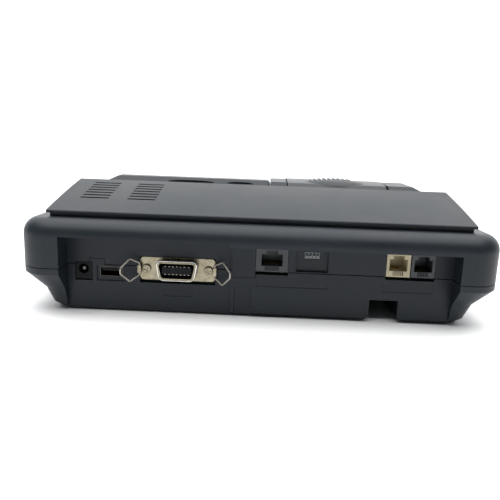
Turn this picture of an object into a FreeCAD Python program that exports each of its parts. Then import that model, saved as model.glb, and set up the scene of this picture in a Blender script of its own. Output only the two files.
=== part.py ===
import FreeCAD, Part
import math
import os
import re
import Sketcher

# Desk-top fax and data terminal with a narrow thermal roll printer.
# Millimetres. The rear with its ports faces +Y, the keys face -Y, +Z is up.
# The origin lies under the middle of the case, on the table.

V = FreeCAD.Vector
FULL_TURN = 360

# Gear teeth: degrees, and heights above and below the pitch circle in modules.
PRESSURE_ANGLE = 25
ADDENDUM = 0.8
DEDENDUM = 1.05
FLANK_STEPS = 5

# Driving sizes. Heights are measured from the underside of the case, depths from its rear face.
SIZES = {
    # case shells
    "case_width": 261,
    "case_depth": 228,
    "case_wall": 2.5,
    "corner_radius": 16,
    "edge_radius": 9,
    "seam_height": 26.2,
    "seam_gap": 0.4,
    "top_height": 52.5,
    "rim_band": 3.7,
    "flare_height": 10.5,
    "flare_inset": 9.5,
    "base_inset": 12.5,
    "base_corner_radius": 10,
    "sole_bevel": 3,
    "foot_height": 1,
    "foot_radius": 7,
    "foot_side": 92,
    "foot_setback": 34,
    # sloping key deck
    "deck_setback": 158,
    "deck_angle": 13,
    "crease_radius": 40,
    # rear recess with the port wall
    "recess_width": 214,
    "recess_depth": 13.3,
    "recess_height": 41.5,
    "bay_step": 1.2,
    "bay_rise": 2,
    "pillar_side": 15.2,
    "channel_side": 8.4,
    "channel_width": 9.6,
    "channel_height": 17,
    "channel_depth": 0.9,
    "notch_side": -70.6,
    "notch_width": 15.9,
    "notch_height": 12.3,
    "notch_depth": 45,
    "notch_flare": 2.5,
    "tongue_drop": 3.9,
    "tab_side": 90.4,
    "tab_width": 8.4,
    "tab_rise": 3.2,
    "label_depth": 0.3,
    "label_height": 4.4,
    "ribbon_label_lift": 9.2,
    "ribbon_label_width": 16.1,
    "network_label_lift": 17.4,
    "network_label_side": -19,
    "network_label_width": 39.5,
    "line_label_lift": 17.2,
    "line_label_side": -83.2,
    "line_label_width": 27.9,
    # case screws
    "boss_side": 110.5,
    "rear_boss_setback": 78,
    "front_boss_setback": 204,
    "boss_radius": 4.2,
    "boss_split": 20,
    "screw_radius": 1.5,
    "screw_head_radius": 2.8,
    "screw_head_height": 2,
    "screw_seat": 6,
    "screw_bite": 9,
    # clearances
    "fit_gap": 0.2,
    "thread_gap": 0.05,
    "pin_gap": 0.06,
    # rear hood
    "hood_width": 235.4,
    "hood_setback": 13,
    "hood_crest_setback": 72,
    "hood_end_setback": 76,
    "hood_height": 15.9,
    "hood_lip": 3.4,
    "hood_lip_radius": 1,
    "hood_crown": 0.5,
    "hood_fall": 0.5,
    "hood_wall": 2.2,
    "shadow_gap": 2,
    "shadow_depth": 1.6,
    "vent_length": 16.5,
    "vent_width": 1.8,
    "vent_pitch": 4.85,
    "vent_setback": 34.6,
    "vent_outer_side": 97.4,
    "vent_inner_side": 69.9,
    # boards
    "board_thickness": 1.6,
    "board_gap": 1,
    "board_end_setback": 69,
    "board_edge": 105.5,
    "power_board_height": 17.4,
    "line_board_height": 26.1,
    "line_board_reach": 2.5,
    "power_board_side": 12,
    "post_radius": 3,
    "post_inset": 5,
    "post_setback": 19,
    "board_screw_radius": 1.25,
    "board_screw_bite": 6,
    "board_screw_head_radius": 2.4,
    "board_screw_head_height": 1.6,
    # power inlet
    "dc_side": 98.1,
    "dc_width": 9.4,
    "dc_height": 9.7,
    "dc_length": 13,
    "dc_bore_radius": 2.8,
    "dc_bore_depth": 9,
    "dc_bore_lift": 5.9,
    "dc_pin_radius": 1,
    "dc_slot": 0.8,
    # USB-size port
    "usb_side": 82.7,
    "usb_width": 13.1,
    "usb_height": 5.7,
    "usb_length": 14,
    "usb_lift": 1.6,
    "usb_sheet": 0.4,
    "usb_back": 2,
    "usb_tongue_width": 11.1,
    "usb_tongue_height": 1.8,
    "usb_frame_width": 16.2,
    "usb_frame_height": 8.3,
    "usb_frame_drop": 2.3,
    "usb_frame_depth": 0.9,
    # ribbon port
    "ribbon_side": 45.1,
    "ribbon_lift": 24.95,
    "plate_width": 42,
    "plate_height": 13,
    "plate_thickness": 1.2,
    "plate_radius": 2,
    "flange_slot": 1.6,
    "shell_top_width": 21.8,
    "shell_bottom_width": 18.2,
    "shell_height": 9.9,
    "shell_reach": 5,
    "shell_sheet": 0.7,
    "shell_radius": 2.2,
    "insulator_width": 16.4,
    "insulator_height": 4,
    "insulator_back": 12,
    "contact_pitch": 2.16,
    "contact_width": 0.9,
    "contact_thickness": 0.35,
    "contact_length": 4,
    "contact_setback": 1.5,
    "flange_screw_side": 17.35,
    "flange_screw_radius": 1.3,
    "flange_head_radius": 2.5,
    "flange_head_height": 1.3,
    "flange_screw_length": 6,
    "lug_width": 1.9,
    "lug_height": 4.4,
    "lug_reach": 3.1,
    "bail_side": 20.95,
    "bail_stand": 2.1,
    "bail_wire_radius": 0.55,
    "bail_end": 0.5,
    "bail_foot": 3.4,
    "bail_rise": 6.5,
    "bail_shoulder": 5.9,
    "bail_reach": 11.4,
    "bail_tip": 1.5,
    "bail_bend": 1.2,
    "bail_angle": 38,
    # line side jacks
    "jack_height": 12.8,
    "jack_length": 16,
    "jack_pocket": 12,
    "jack_plug_height": 6.6,
    "jack_sill": 3.4,
    "latch_width": 6,
    "latch_height": 2,
    "network_side": -7.4,
    "network_width": 17.8,
    "network_opening": 11.7,
    "line_side": -77,
    "phone_side": -90.6,
    "phone_width": 13,
    "phone_opening": 9.8,
    "wire_pitch": 1.02,
    "wire_size": 0.4,
    "wire_length": 7,
    "comb_slot": 0.5,
    "comb_height": 2.6,
    "comb_depth": 2,
    "jack_slot": 1.8,
    # setting switches
    "switch_side": -29.6,
    "switch_pocket_width": 17.8,
    "switch_pocket_height": 11.9,
    "switch_pocket_lift": 26.8,
    "switch_pocket_depth": 2,
    "switch_width": 10.4,
    "switch_height": 12.2,
    "switch_depth": 6,
    "nose_width": 8.6,
    "nose_height": 3.8,
    "nose_lift": 35.9,
    "slider_pitch": 2,
    "slider_width": 1,
    "slider_height": 1.3,
    "slider_depth": 1.3,
    "slider_travel": 1.4,
    "slider_proud": 0.5,
    # speaker
    "speaker_side": 83.6,
    "speaker_setback": 50,
    "speaker_radius": 17,
    "speaker_rim": 2.5,
    "speaker_rim_height": 1.6,
    "speaker_depth": 9,
    "magnet_radius": 9,
    "cone_depth": 3,
    # top housings
    "housing_setback": 77,
    "housing_end_setback": 155,
    "housing_wall": 2.2,
    "housing_height": 17.4,
    "housing_rear_height": 13.5,
    "housing_bevel": 7,
    "housing_edge_radius": 2.5,
    "housing_end_run": 8,
    "housing_end_drop": 4,
    "housing_gap": 0.8,
    "printer_width": 101.5,
    "printer_flat": 30,
    "ledge_height": 13.7,
    "display_side": 49.4,
    "display_width": 109.2,
    "display_crest": 18,
    "display_flat": 9,
    "display_front_height": 4.5,
    "window_width": 74,
    "window_length": 30,
    "window_thickness": 1.6,
    "window_setback": 38,
    "window_seat": 1,
    "panel_width": 70,
    "panel_length": 27,
    "panel_thickness": 3,
    "scoop_setback": 80.4,
    "scoop_lift": 15.7,
    "scoop_depth": 1.8,
    "scoop_height": 2.6,
    "long_scoop_side": 47,
    "long_scoop_width": 30.6,
    "short_scoop_side": 14.6,
    "short_scoop_width": 17,
    # printer cover
    "cover_inset": 11,
    "cover_width": 65.5,
    "cover_setback": 80.4,
    "cover_end_setback": 145.5,
    "cover_gap": 0.8,
    "cover_rear_height": 13.7,
    "cover_bevel": 6.1,
    "cover_bevel_height": 16.9,
    "cover_front_height": 14.1,
    "cover_crown": 2.1,
    "cover_sheet": 2.4,
    "dome_setback": 97,
    "dome_lift": 14.7,
    "dome_rise": 5,
    "dome_length": 27,
    "dome_width": 50,
    "hinge_setback": 83.4,
    "hinge_height": 12.7,
    "hinge_radius": 1.2,
    "hinge_knuckle_radius": 2,
    "hinge_knuckle_width": 5,
    "hinge_lug_rise": 2.1,
    "hinge_lug_length": 5.5,
    "grip_offset": 3.8,
    "grip_width": 28,
    "grip_length": 12,
    "grip_setback": 100,
    "grip_top_height": 20.6,
    "grip_low_height": 12,
    "grip_flange": 1.5,
    "grip_flange_height": 1.2,
    "grip_rib_count": 9,
    "grip_rib_height": 0.8,
    # printer works
    "frame_sheet": 1.6,
    "frame_gap": 0.5,
    "frame_top": 10.7,
    "frame_front_setback": 150,
    "frame_rear_setback": 81.4,
    "bucket_radius": 24.2,
    "bucket_sheet": 1.5,
    "roll_gap": 0.3,
    "roll_radius": 22,
    "roll_bore_radius": 6.5,
    "roll_width": 57.4,
    "roll_setback": 108,
    "roll_height": 39,
    "platen_setback": 139,
    "platen_height": 58.6,
    "platen_radius": 5,
    "platen_shaft_radius": 2.5,
    "platen_length": 57.6,
    "arm_sheet": 1.6,
    "arm_length": 9,
    "gear_module": 0.5,
    "gear_teeth": 24,
    "pinion_teeth": 14,
    "gear_width": 3,
    "gear_backlash": 0.16,
    "motor_radius": 10,
    "motor_length": 15,
    "motor_shaft_radius": 1,
    "head_gap": 0.45,
    "head_sheet": 2.4,
    "head_height": 9.5,
    "head_pivot_drop": 6,
    "head_pivot_radius": 1.2,
    "spring_radius": 2,
    "spring_side": 16,
    "spring_drop": 1,
    "tear_sheet": 0.8,
    "tear_length": 5,
    "tear_tooth": 1.2,
    # keys
    "key_column_pitch": 17,
    "key_rows": 4,
    "key_row_gap": 3.6,
    "key_width": 13,
    "deck_end_room": 13.2,
    "key_proud": 3,
    "key_travel": 1.8,
    "key_flange": 1.2,
    "key_flange_height": 1,
    "key_edge_radius": 1.2,
    "key_middle_side": 48,
    "key_first_row": 11,
    "action_key_side": 86,
    "action_key_width": 16,
    "sheet_thickness": 1.6,
    "sheet_margin": 1.5,
    "main_board_margin": 8,
    "card_side": -58,
    "card_width": 92,
    "card_end_room": 17,
    "card_start": 11,
    "card_depth": 0.6,
}

# Places that follow from the driving sizes.
PLACES = {
    "rear_y": "case_depth / 2",
    "front_y": "-case_depth / 2",
    "case_z": "foot_height",
    "floor_z": "case_z + case_wall",
    "seam_z": "case_z + seam_height",
    "top_z": "case_z + top_height",
    "under_top_z": "top_z - case_wall",
    "deck_y": "rear_y - deck_setback",
    "deck_front_z": "top_z - (case_depth - deck_setback) * tan(deck_angle)",
    "port_y": "rear_y - recess_depth",
    "bay_y": "port_y - bay_step",
    "port_back_y": "bay_y - case_wall",
    "recess_z": "case_z + recess_height",
    "bay_z": "recess_z + bay_rise",
    "split_z": "case_z + boss_split",
    "seat_z": "floor_z + screw_seat",
    "hood_rear_y": "rear_y - hood_setback",
    "hood_crest_y": "rear_y - hood_crest_setback",
    "hood_front_y": "rear_y - hood_end_setback",
    "hood_run": "hood_crest_setback - hood_setback",
    "hood_climb": "hood_height - hood_lip",
    "hood_chord": "sqrt(hood_run ^ 2 + hood_climb ^ 2)",
    "hood_radius": "hood_chord ^ 2 / (8 * hood_crown) + hood_crown / 2",
    "hood_slope": "atan(hood_climb / hood_run)",
    "lip_angle": "atan(hood_climb / hood_run) + asin(hood_chord / (2 * hood_radius))",
    "lip_reach": "hood_lip_radius / tan(45 + lip_angle / 2)",
    "power_top_z": "case_z + power_board_height",
    "line_top_z": "case_z + line_board_height",
    "board_y": "port_back_y - board_gap",
    "board_end_y": "rear_y - board_end_setback",
    "ribbon_z": "case_z + ribbon_lift",
    "usb_z": "power_top_z + usb_lift",
    "nose_z": "case_z + nose_lift",
    "housing_rear_y": "rear_y - housing_setback",
    "housing_front_y": "rear_y - housing_end_setback",
    "housing_z": "top_z + housing_height",
    "display_left": "display_side - display_width / 2",
    "display_right": "display_side + display_width / 2",
    "printer_right": "display_left - housing_gap",
    "printer_left": "printer_right - printer_width",
    "display_z": "top_z + display_crest",
    "bevel_y": "housing_rear_y - housing_bevel",
    "ledge_z": "top_z + ledge_height",
    "slope_y": "bevel_y - display_flat",
    "slope_run": "slope_y - housing_front_y",
    "slope_drop": "display_crest - display_front_height",
    "slope_angle": "atan(slope_drop / slope_run)",
    "cover_right": "printer_right - cover_inset",
    "cover_left": "cover_right - cover_width",
    "cover_side": "cover_right - cover_width / 2",
    "cover_rear_y": "rear_y - cover_setback",
    "cover_front_y": "rear_y - cover_end_setback",
    "cover_rear_z": "top_z + cover_rear_height",
    "cover_bevel_y": "cover_rear_y - cover_bevel",
    "cover_bevel_z": "top_z + cover_bevel_height",
    "cover_front_z": "top_z + cover_front_height",
    "cover_run": "cover_end_setback - cover_setback - cover_bevel",
    "cover_radius": "(cover_run ^ 2 / 4 + cover_crown ^ 2) / (2 * cover_crown)",
    "hinge_y": "rear_y - hinge_setback",
    "hinge_z": "top_z + hinge_height",
    "frame_left": "cover_left - frame_gap",
    "frame_right": "cover_right + frame_gap",
    "frame_top_z": "top_z + frame_top",
    "frame_rear_y": "rear_y - frame_rear_setback",
    "frame_front_y": "rear_y - frame_front_setback",
    "roll_y": "rear_y - roll_setback",
    "roll_z": "case_z + roll_height",
    "bucket_z": "roll_z + bucket_radius - roll_radius - roll_gap",
    "platen_y": "rear_y - platen_setback",
    "platen_z": "case_z + platen_height",
    "platen_right": "cover_right - fit_gap - arm_sheet - fit_gap",
    "platen_left": "platen_right - platen_length",
    "arm_left": "platen_left - fit_gap - arm_sheet",
    "gear_right": "arm_left - fit_gap",
    "gear_left": "gear_right - gear_width",
    "gear_span": "gear_module * (gear_teeth + pinion_teeth) / 2",
    "pinion_z": "platen_z - gear_span",
    "head_rear_y": "platen_y - platen_radius - head_gap",
    "head_front_y": "head_rear_y - head_sheet",
    "head_mid_y": "head_rear_y - head_sheet / 2",
    "pivot_z": "platen_z - head_pivot_drop",
    "spring_z": "platen_z - spring_drop",
    "grip_side": "cover_side + grip_offset",
    "grip_y": "rear_y - grip_setback",
    "grip_z": "top_z + grip_top_height",
    "grip_low_z": "top_z + grip_low_height",
    "deck_run": "case_depth - deck_setback",
    "key_row_pitch": "(deck_run - key_first_row - deck_end_room + key_row_gap / 2) / (key_rows - 1 / 2)",
    "key_length": "key_row_pitch - key_row_gap",
    "card_length": "deck_run - card_start - card_end_room",
    "key_floor": "case_wall + fit_gap + key_flange_height",
    "sheet_top": "key_floor + key_travel + fit_gap",
    "sheet_bottom": "sheet_top + sheet_thickness",
    "pad_left": "key_middle_side - key_column_pitch - key_width / 2",
    "pad_right": "action_key_side + action_key_width / 2",
    "pad_start": "key_first_row - key_length / 2",
    "pad_end": "key_first_row + (key_rows - 1) * key_row_pitch + key_length / 2",
}

DIAL_KEYS = ("1", "2", "3", "4", "5", "6", "7", "8", "9", "star", "0", "hash")
DIAL_COLUMNS = 3
ACTION_KEYS = {"stop_key": 2, "start_key": 3}
VENT_COUNT = 7
SLIDER_COUNT = 4
CONTACTS_IN_ROW = 7
NETWORK_WIRES = 8
NETWORK_SLOTS = 8
PHONE_WIRES = 4
PHONE_SLOTS = 6
SIDES = (-1, 1)

doc = FreeCAD.newDocument("desk_terminal")
sheet = doc.addObject("Spreadsheet::Sheet", "sizes")
places = doc.addObject("App::VarSet", "places")
probe = doc.addObject("App::VarSet", "probe")
probe.addProperty("App::PropertyFloat", "number")
WORD = re.compile(r"[A-Za-z_][A-Za-z_0-9]*")
nodes = {}


def expand(formula):
    """Turns plain size names in a formula into references to the sheet or to the places."""
    def owner(match):
        word = match.group(0)
        if word in SIZES:
            return "sizes." + word
        if word in PLACES:
            return "places." + word
        return word
    return WORD.sub(owner, str(formula))


def bind(thing, prop, formula):
    """Ties one property of an object to a formula of the sizes."""
    thing.setExpression(prop, expand(formula))


def value(formula):
    """The number that a formula of the sizes stands for."""
    probe.setExpression("number", expand(formula))
    probe.recompute()
    return probe.number


def fill_sheet():
    """Writes the driving sizes into the sheet and binds the places to them."""
    for row, (alias, number) in enumerate(SIZES.items(), 1):
        sheet.set(f"A{row}", alias)
        sheet.set(f"B{row}", str(number))
        sheet.setAlias(f"B{row}", alias)
    doc.recompute()
    for name, formula in PLACES.items():
        places.addProperty("App::PropertyFloat", name)
        bind(places, name, formula)
    doc.recompute()


def node(label, thing):
    """Registers an object as a sub-part under its name."""
    thing.Label = label
    nodes[label] = thing
    return thing


# Solids whose sizes are formulas

def box(name, x, y, z):
    """A block between pairs of formulas along X, Y and Z."""
    block = doc.addObject("Part::Box", name)
    for axis, prop, (low, high) in zip("xyz", ("Length", "Width", "Height"), (x, y, z)):
        bind(block, prop, f"({high}) - ({low})")
        bind(block, f"Placement.Base.{axis}", low)
    return block


def rod(name, axis, radius, start, length):
    """A cylinder from a start point along the positive X, Y or Z axis."""
    bar = doc.addObject("Part::Cylinder", name)
    turns = {"X": FreeCAD.Rotation(V(0, 1, 0), 90), "Y": FreeCAD.Rotation(V(1, 0, 0), -90)}
    bar.Placement = FreeCAD.Placement(V(), turns.get(axis, FreeCAD.Rotation()))
    bind(bar, "Radius", radius)
    bind(bar, "Height", length)
    for letter, formula in zip("xyz", start):
        bind(bar, f"Placement.Base.{letter}", formula)
    return bar


def dome(name, middle, radii):
    """An ellipsoid about a middle, with its half sizes along X, Y and Z as formulas."""
    thing = doc.addObject("Part::Ellipsoid", name)
    for prop, formula in zip(("Radius2", "Radius3", "Radius1"), radii):
        bind(thing, prop, formula)
    bind(thing, "Angle1", "-90")
    for axis, formula in zip("xyz", middle):
        bind(thing, f"Placement.Base.{axis}", formula)
    return thing


def fuse(name, *solids):
    """Joins solids into one object."""
    if len(solids) == 1:
        return solids[0]
    joined = doc.addObject("Part::MultiFuse", name)
    joined.Shapes = list(solids)
    return joined


def cut(name, base, *tools):
    """Takes the tools away from a base."""
    rest = doc.addObject("Part::Cut", name)
    rest.Base = base
    rest.Tool = fuse(name + "_tools", *tools)
    return rest


def overlap(name, *solids):
    """What several solids share."""
    shared = doc.addObject("Part::MultiCommon", name)
    shared.Shapes = list(solids)
    return shared


def group(name, *solids):
    """Separate solids kept together in one object."""
    bundle = doc.addObject("Part::Compound", name)
    bundle.Links = list(solids)
    return bundle


def plane_sketch(body, name, plane, start):
    """An empty sketch on an origin plane of a body, moved along the plane's normal."""
    sketch = body.newObject("Sketcher::SketchObject", name)
    support = [part for part in body.Origin.OriginFeatures if part.Role == plane + "_Plane"]
    sketch.AttachmentSupport = [(support[0], "")]
    sketch.MapMode = "FlatFace"
    sketch.setExpression("AttachmentOffset.Base.z", expand(start))
    return sketch


def draw(sketch, outline):
    """Draws a closed outline. A corner is (x, y), or (x, y, radius) where an arc starts from it.

    Arcs bulge to the right of their direction of travel and stay under a half circle.
    """
    corners = [(value(corner[0]), value(corner[1])) for corner in outline]
    count = len(corners)
    for index, corner in enumerate(outline):
        start = V(*corners[index], 0)
        end = V(*corners[(index + 1) % count], 0)
        if len(corner) == 2:
            sketch.addGeometry(Part.LineSegment(start, end))
            continue
        chord = end - start
        radius = value(corner[2])
        rise = radius - math.sqrt(radius ** 2 - chord.Length ** 2 / 4)
        outward = V(chord.y, -chord.x, 0).normalize()
        sketch.addGeometry(Part.Arc(start, (start + end) / 2 + outward * rise, end))
    ends = [end_points(sketch, index, corners) for index in range(count)]
    for index in range(count):
        after = (index + 1) % count
        meeting = (index, ends[index][1], after, ends[after][0])
        sketch.addConstraint(Sketcher.Constraint("Coincident", *meeting))
    for index, corner in enumerate(outline):
        for kind, formula, number in zip(("DistanceX", "DistanceY"), corner, corners[index]):
            tie(sketch, Sketcher.Constraint(kind, -1, 1, index, ends[index][0], number), formula)
        if len(corner) == 3:
            tie(sketch, Sketcher.Constraint("Radius", index, value(corner[2])), corner[2])


def end_points(sketch, index, corners):
    """Which end of a sketch curve, 1 or 2, starts at its corner and which one leaves it."""
    curve = sketch.Geometry[index]
    start = V(*corners[index], 0)
    if (curve.StartPoint - start).Length < (curve.EndPoint - start).Length:
        return 1, 2
    return 2, 1


def tie(sketch, constraint, formula):
    """Adds a measured constraint to a sketch and binds it to its formula."""
    place = sketch.addConstraint(constraint)
    sketch.setExpression(f"Constraints[{place}]", expand(formula))


def prism(name, plane, outline, start, length):
    """A body padded from a closed outline along the normal of its plane."""
    body = doc.addObject("PartDesign::Body", name)
    sketch = plane_sketch(body, name + "_outline", plane, start)
    draw(sketch, outline)
    pad = body.newObject("PartDesign::Pad", name + "_pad")
    pad.Profile = sketch
    bind(pad, "Length", length)
    return body


def turned(name, profile, axis_place):
    """A body turned about an upright axis through (x, y); the profile is (radius, height) corners."""
    body = doc.addObject("PartDesign::Body", name)
    sketch = plane_sketch(body, name + "_profile", "XZ", "0")
    draw(sketch, profile)
    lathe = body.newObject("PartDesign::Revolution", name + "_turn")
    lathe.Profile = sketch
    lathe.ReferenceAxis = (sketch, ["V_Axis"])
    lathe.Angle = FULL_TURN
    bind(body, "Placement.Base.x", axis_place[0])
    bind(body, "Placement.Base.y", axis_place[1])
    return body


def round_edges(body, radius, chosen):
    """Rounds the edges of a body that a test picks."""
    doc.recompute()
    tip = body.Tip
    names = [f"Edge{place}" for place, edge in enumerate(tip.Shape.Edges, 1) if chosen(edge)]
    rounding = body.newObject("PartDesign::Fillet", f"{body.Name}_round_{len(body.Group)}")
    rounding.Base = (tip, names)
    bind(rounding, "Radius", radius)


def upright(edge):
    """Whether an edge runs straight up."""
    size = edge.BoundBox
    return size.XLength < 0.01 and size.YLength < 0.01


def rounded_outline(width, depth, radius):
    """A rounded rectangle about the origin, as an outline with arcs at its corners."""
    x, y = f"({width}) / 2", f"({depth}) / 2"
    inner_x, inner_y = f"({x} - ({radius}))", f"({y} - ({radius}))"
    return [
        (f"-{inner_x}", f"-{y}"), (inner_x, f"-{y}", radius),
        (x, f"-{inner_y}"), (x, inner_y, radius),
        (inner_x, y), (f"-{inner_x}", y, radius),
        (f"-({x})", inner_y), (f"-({x})", f"-{inner_y}", radius),
    ]


def deck_place(x, along, above):
    """A placement on the sloping key deck: along runs down to the front, above stands off its face."""
    angle = math.radians(value("deck_angle"))
    run, rise = value(along), value(above)
    point = V(
        value(x),
        value("deck_y") - run * math.cos(angle) - rise * math.sin(angle),
        value("top_z") - run * math.sin(angle) + rise * math.cos(angle),
    )
    return FreeCAD.Placement(point, FreeCAD.Rotation(V(1, 0, 0), value("deck_angle")))


def deck_box(name, x, along, above):
    """A block on the key deck between pairs of formulas across, down and off the deck."""
    block = doc.addObject("Part::Box", name)
    for prop, (low, high) in zip(("Length", "Width", "Height"), (x, along, above)):
        bind(block, prop, f"({high}) - ({low})")
    block.Placement = deck_place(x[0], along[1], above[0])
    return block


def deck_rod(name, radius, x, along, above):
    """A cylinder square to the key deck between two heights off its face."""
    bar = doc.addObject("Part::Cylinder", name)
    bind(bar, "Radius", radius)
    bind(bar, "Height", f"({above[1]}) - ({above[0]})")
    bar.Placement = deck_place(x, along, above[0])
    return bar


def span(middle, width):
    """The two formulas of a width about a middle."""
    return f"({middle}) - ({width}) / 2", f"({middle}) + ({width}) / 2"


# Case shells

def tub(name, levels):
    """A body lofted through rounded rectangles; a level is (height, inset, corner radius)."""
    body = doc.addObject("PartDesign::Body", name)
    sketches = []
    for place, (height, inset, radius) in enumerate(levels):
        sketch = plane_sketch(body, f"{name}_level_{place}", "XY", height)
        draw(sketch, rounded_outline(f"case_width - 2 * ({inset})", f"case_depth - 2 * ({inset})", radius))
        sketches.append(sketch)
    loft = body.newObject("PartDesign::AdditiveLoft", name + "_loft")
    loft.Profile = sketches[0]
    loft.Sections = sketches[1:]
    loft.Ruled = True
    return body


def case_block(name, inset, bottom):
    """The upper case's form with its sloping key deck, drawn in by an inset, with rounded edges."""
    rear, front, top = f"rear_y - {inset}", f"front_y + {inset}", f"top_z - {inset}"
    front_z = f"deck_front_z + {inset} * tan(deck_angle) - {inset} / cos(deck_angle)"
    crease = f"deck_y - {inset} * tan(deck_angle / 2)"
    width = f"case_width - 2 * {inset}"
    outline = [(rear, bottom), (rear, top), (crease, top), (front, front_z), (front, bottom)]
    body = prism(name, "YZ", outline, f"-({width}) / 2", width)
    round_edges(body, f"corner_radius - {inset}", upright)
    crease_y, crease_z = value(crease), value(top)

    def at_crease(edge):
        middle = edge.BoundBox.Center
        return abs(middle.y - crease_y) < 0.01 and abs(middle.z - crease_z) < 0.01

    round_edges(body, "crease_radius", at_crease)
    low, half = value(bottom) + 1, value("case_depth") / 2 - value(inset)

    def around_top(edge):
        size = edge.BoundBox
        across = size.XLength > value("case_width") / 2
        return size.ZMin > low and not upright(edge) and not (across and abs(size.Center.y) < half - 1)

    round_edges(body, f"edge_radius - {inset}", around_top)
    return body


def port_windows():
    """The openings of the port wall, one block for each port, cut from both shells."""
    through = ("port_back_y - 1", "rear_y")

    def window(name, middle, width, low, high):
        return box(name, span(middle, f"{width} + 2 * fit_gap"), through, (low, high))

    plate_low, plate_high = span("ribbon_z", "plate_height + 2 * fit_gap")
    nose = span("nose_z", "nose_height + 2 * fit_gap")
    frame_low = "usb_z - usb_frame_drop"
    windows = [
        window("dc_window", "dc_side", "dc_width", "power_top_z - dc_slot",
               "power_top_z + dc_height + fit_gap"),
        window("usb_window", "usb_side", "usb_width", "usb_z - fit_gap", "usb_z + usb_height + fit_gap"),
        box("usb_frame", span("usb_side", "usb_frame_width"), ("bay_y - usb_frame_depth", "rear_y"),
            (frame_low, f"{frame_low} + usb_frame_height")),
        window("ribbon_window", "ribbon_side", "plate_width", f"{plate_low} - flange_slot", plate_high),
        window("switch_window", "switch_side", "nose_width", *nose),
        box("switch_pocket", span("switch_side", "switch_pocket_width"),
            ("port_y - switch_pocket_depth", "rear_y"),
            ("case_z + switch_pocket_lift", "case_z + switch_pocket_lift + switch_pocket_height")),
    ]
    for name, width in (("network", "network_width"), ("line", "phone_width"), ("phone", "phone_width")):
        windows.append(window(name + "_window", name + "_side", width, "line_top_z - jack_slot",
                              "line_top_z + jack_height + fit_gap"))
    return windows


def recess_blocks(low, tag):
    """The rear recess: the line side, and the deeper and taller power bay beside it."""
    half = "recess_width / 2"
    return [
        box(f"recess_{tag}", (f"-{half}", half), ("port_y", "rear_y + 1"), (low, "recess_z")),
        box(f"bay_{tag}", ("pillar_side", half), ("bay_y", "rear_y + 1"), (low, "bay_z")),
    ]


def port_block(name, low, high):
    """The space behind the recess that the cavity of a shell leaves solid, as the port wall."""
    half = "recess_width / 2 + case_wall"
    return box(name, (f"-({half})", half), ("port_back_y", "rear_y + 1"), (low, high))


def seam_tab(name, grow):
    """The tab of the lower case that stands up into the upper wall, grown by a clearance."""
    return box(name, span("tab_side", f"tab_width + 2 * ({grow})"), ("port_back_y", "bay_y"),
               ("seam_z - seam_gap", f"seam_z + tab_rise + {grow}"))


def seam_tongue(name, grow):
    """The tongue of the upper wall that hangs down between the bay and the network jack."""
    return box(name, (f"network_side + network_width / 2 - {grow}", f"pillar_side + {grow}"),
               ("port_back_y", "port_y"), (f"seam_z - tongue_drop - {grow}", "seam_z"))


def label_panels():
    """The shallow bare label panels of the lower wall, as blocks to cut."""
    panels = []
    for name, side, wall in (("ribbon", "ribbon_side", "bay_y"),
                             ("network", "network_label_side", "port_y"),
                             ("line", "line_label_side", "port_y")):
        low = f"case_z + {name}_label_lift"
        panels.append(box(name + "_label", span(side, name + "_label_width"),
                          (f"{wall} - label_depth", "rear_y"), (low, f"{low} + label_height")))
    return panels


def screw_spots():
    """Where the case screws stand, as (x, y) formulas."""
    return [(f"{side} * boss_side", f"rear_y - {setback}")
            for side in SIDES for setback in ("rear_boss_setback", "front_boss_setback")]


def board_spots():
    """Where the posts of the two rear boards stand, as (x, y, top) formulas."""
    spots = []
    rows = ("board_y - post_setback", "board_end_y + post_inset")
    power = ("board_edge - post_inset", "power_board_side + post_inset")
    line = ("post_inset - board_edge", "line_board_reach - post_inset")
    for columns, top in ((power, "power_top_z"), (line, "line_top_z")):
        spots += [(x, y, f"{top} - board_thickness") for x in columns for y in rows]
    return spots


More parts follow.
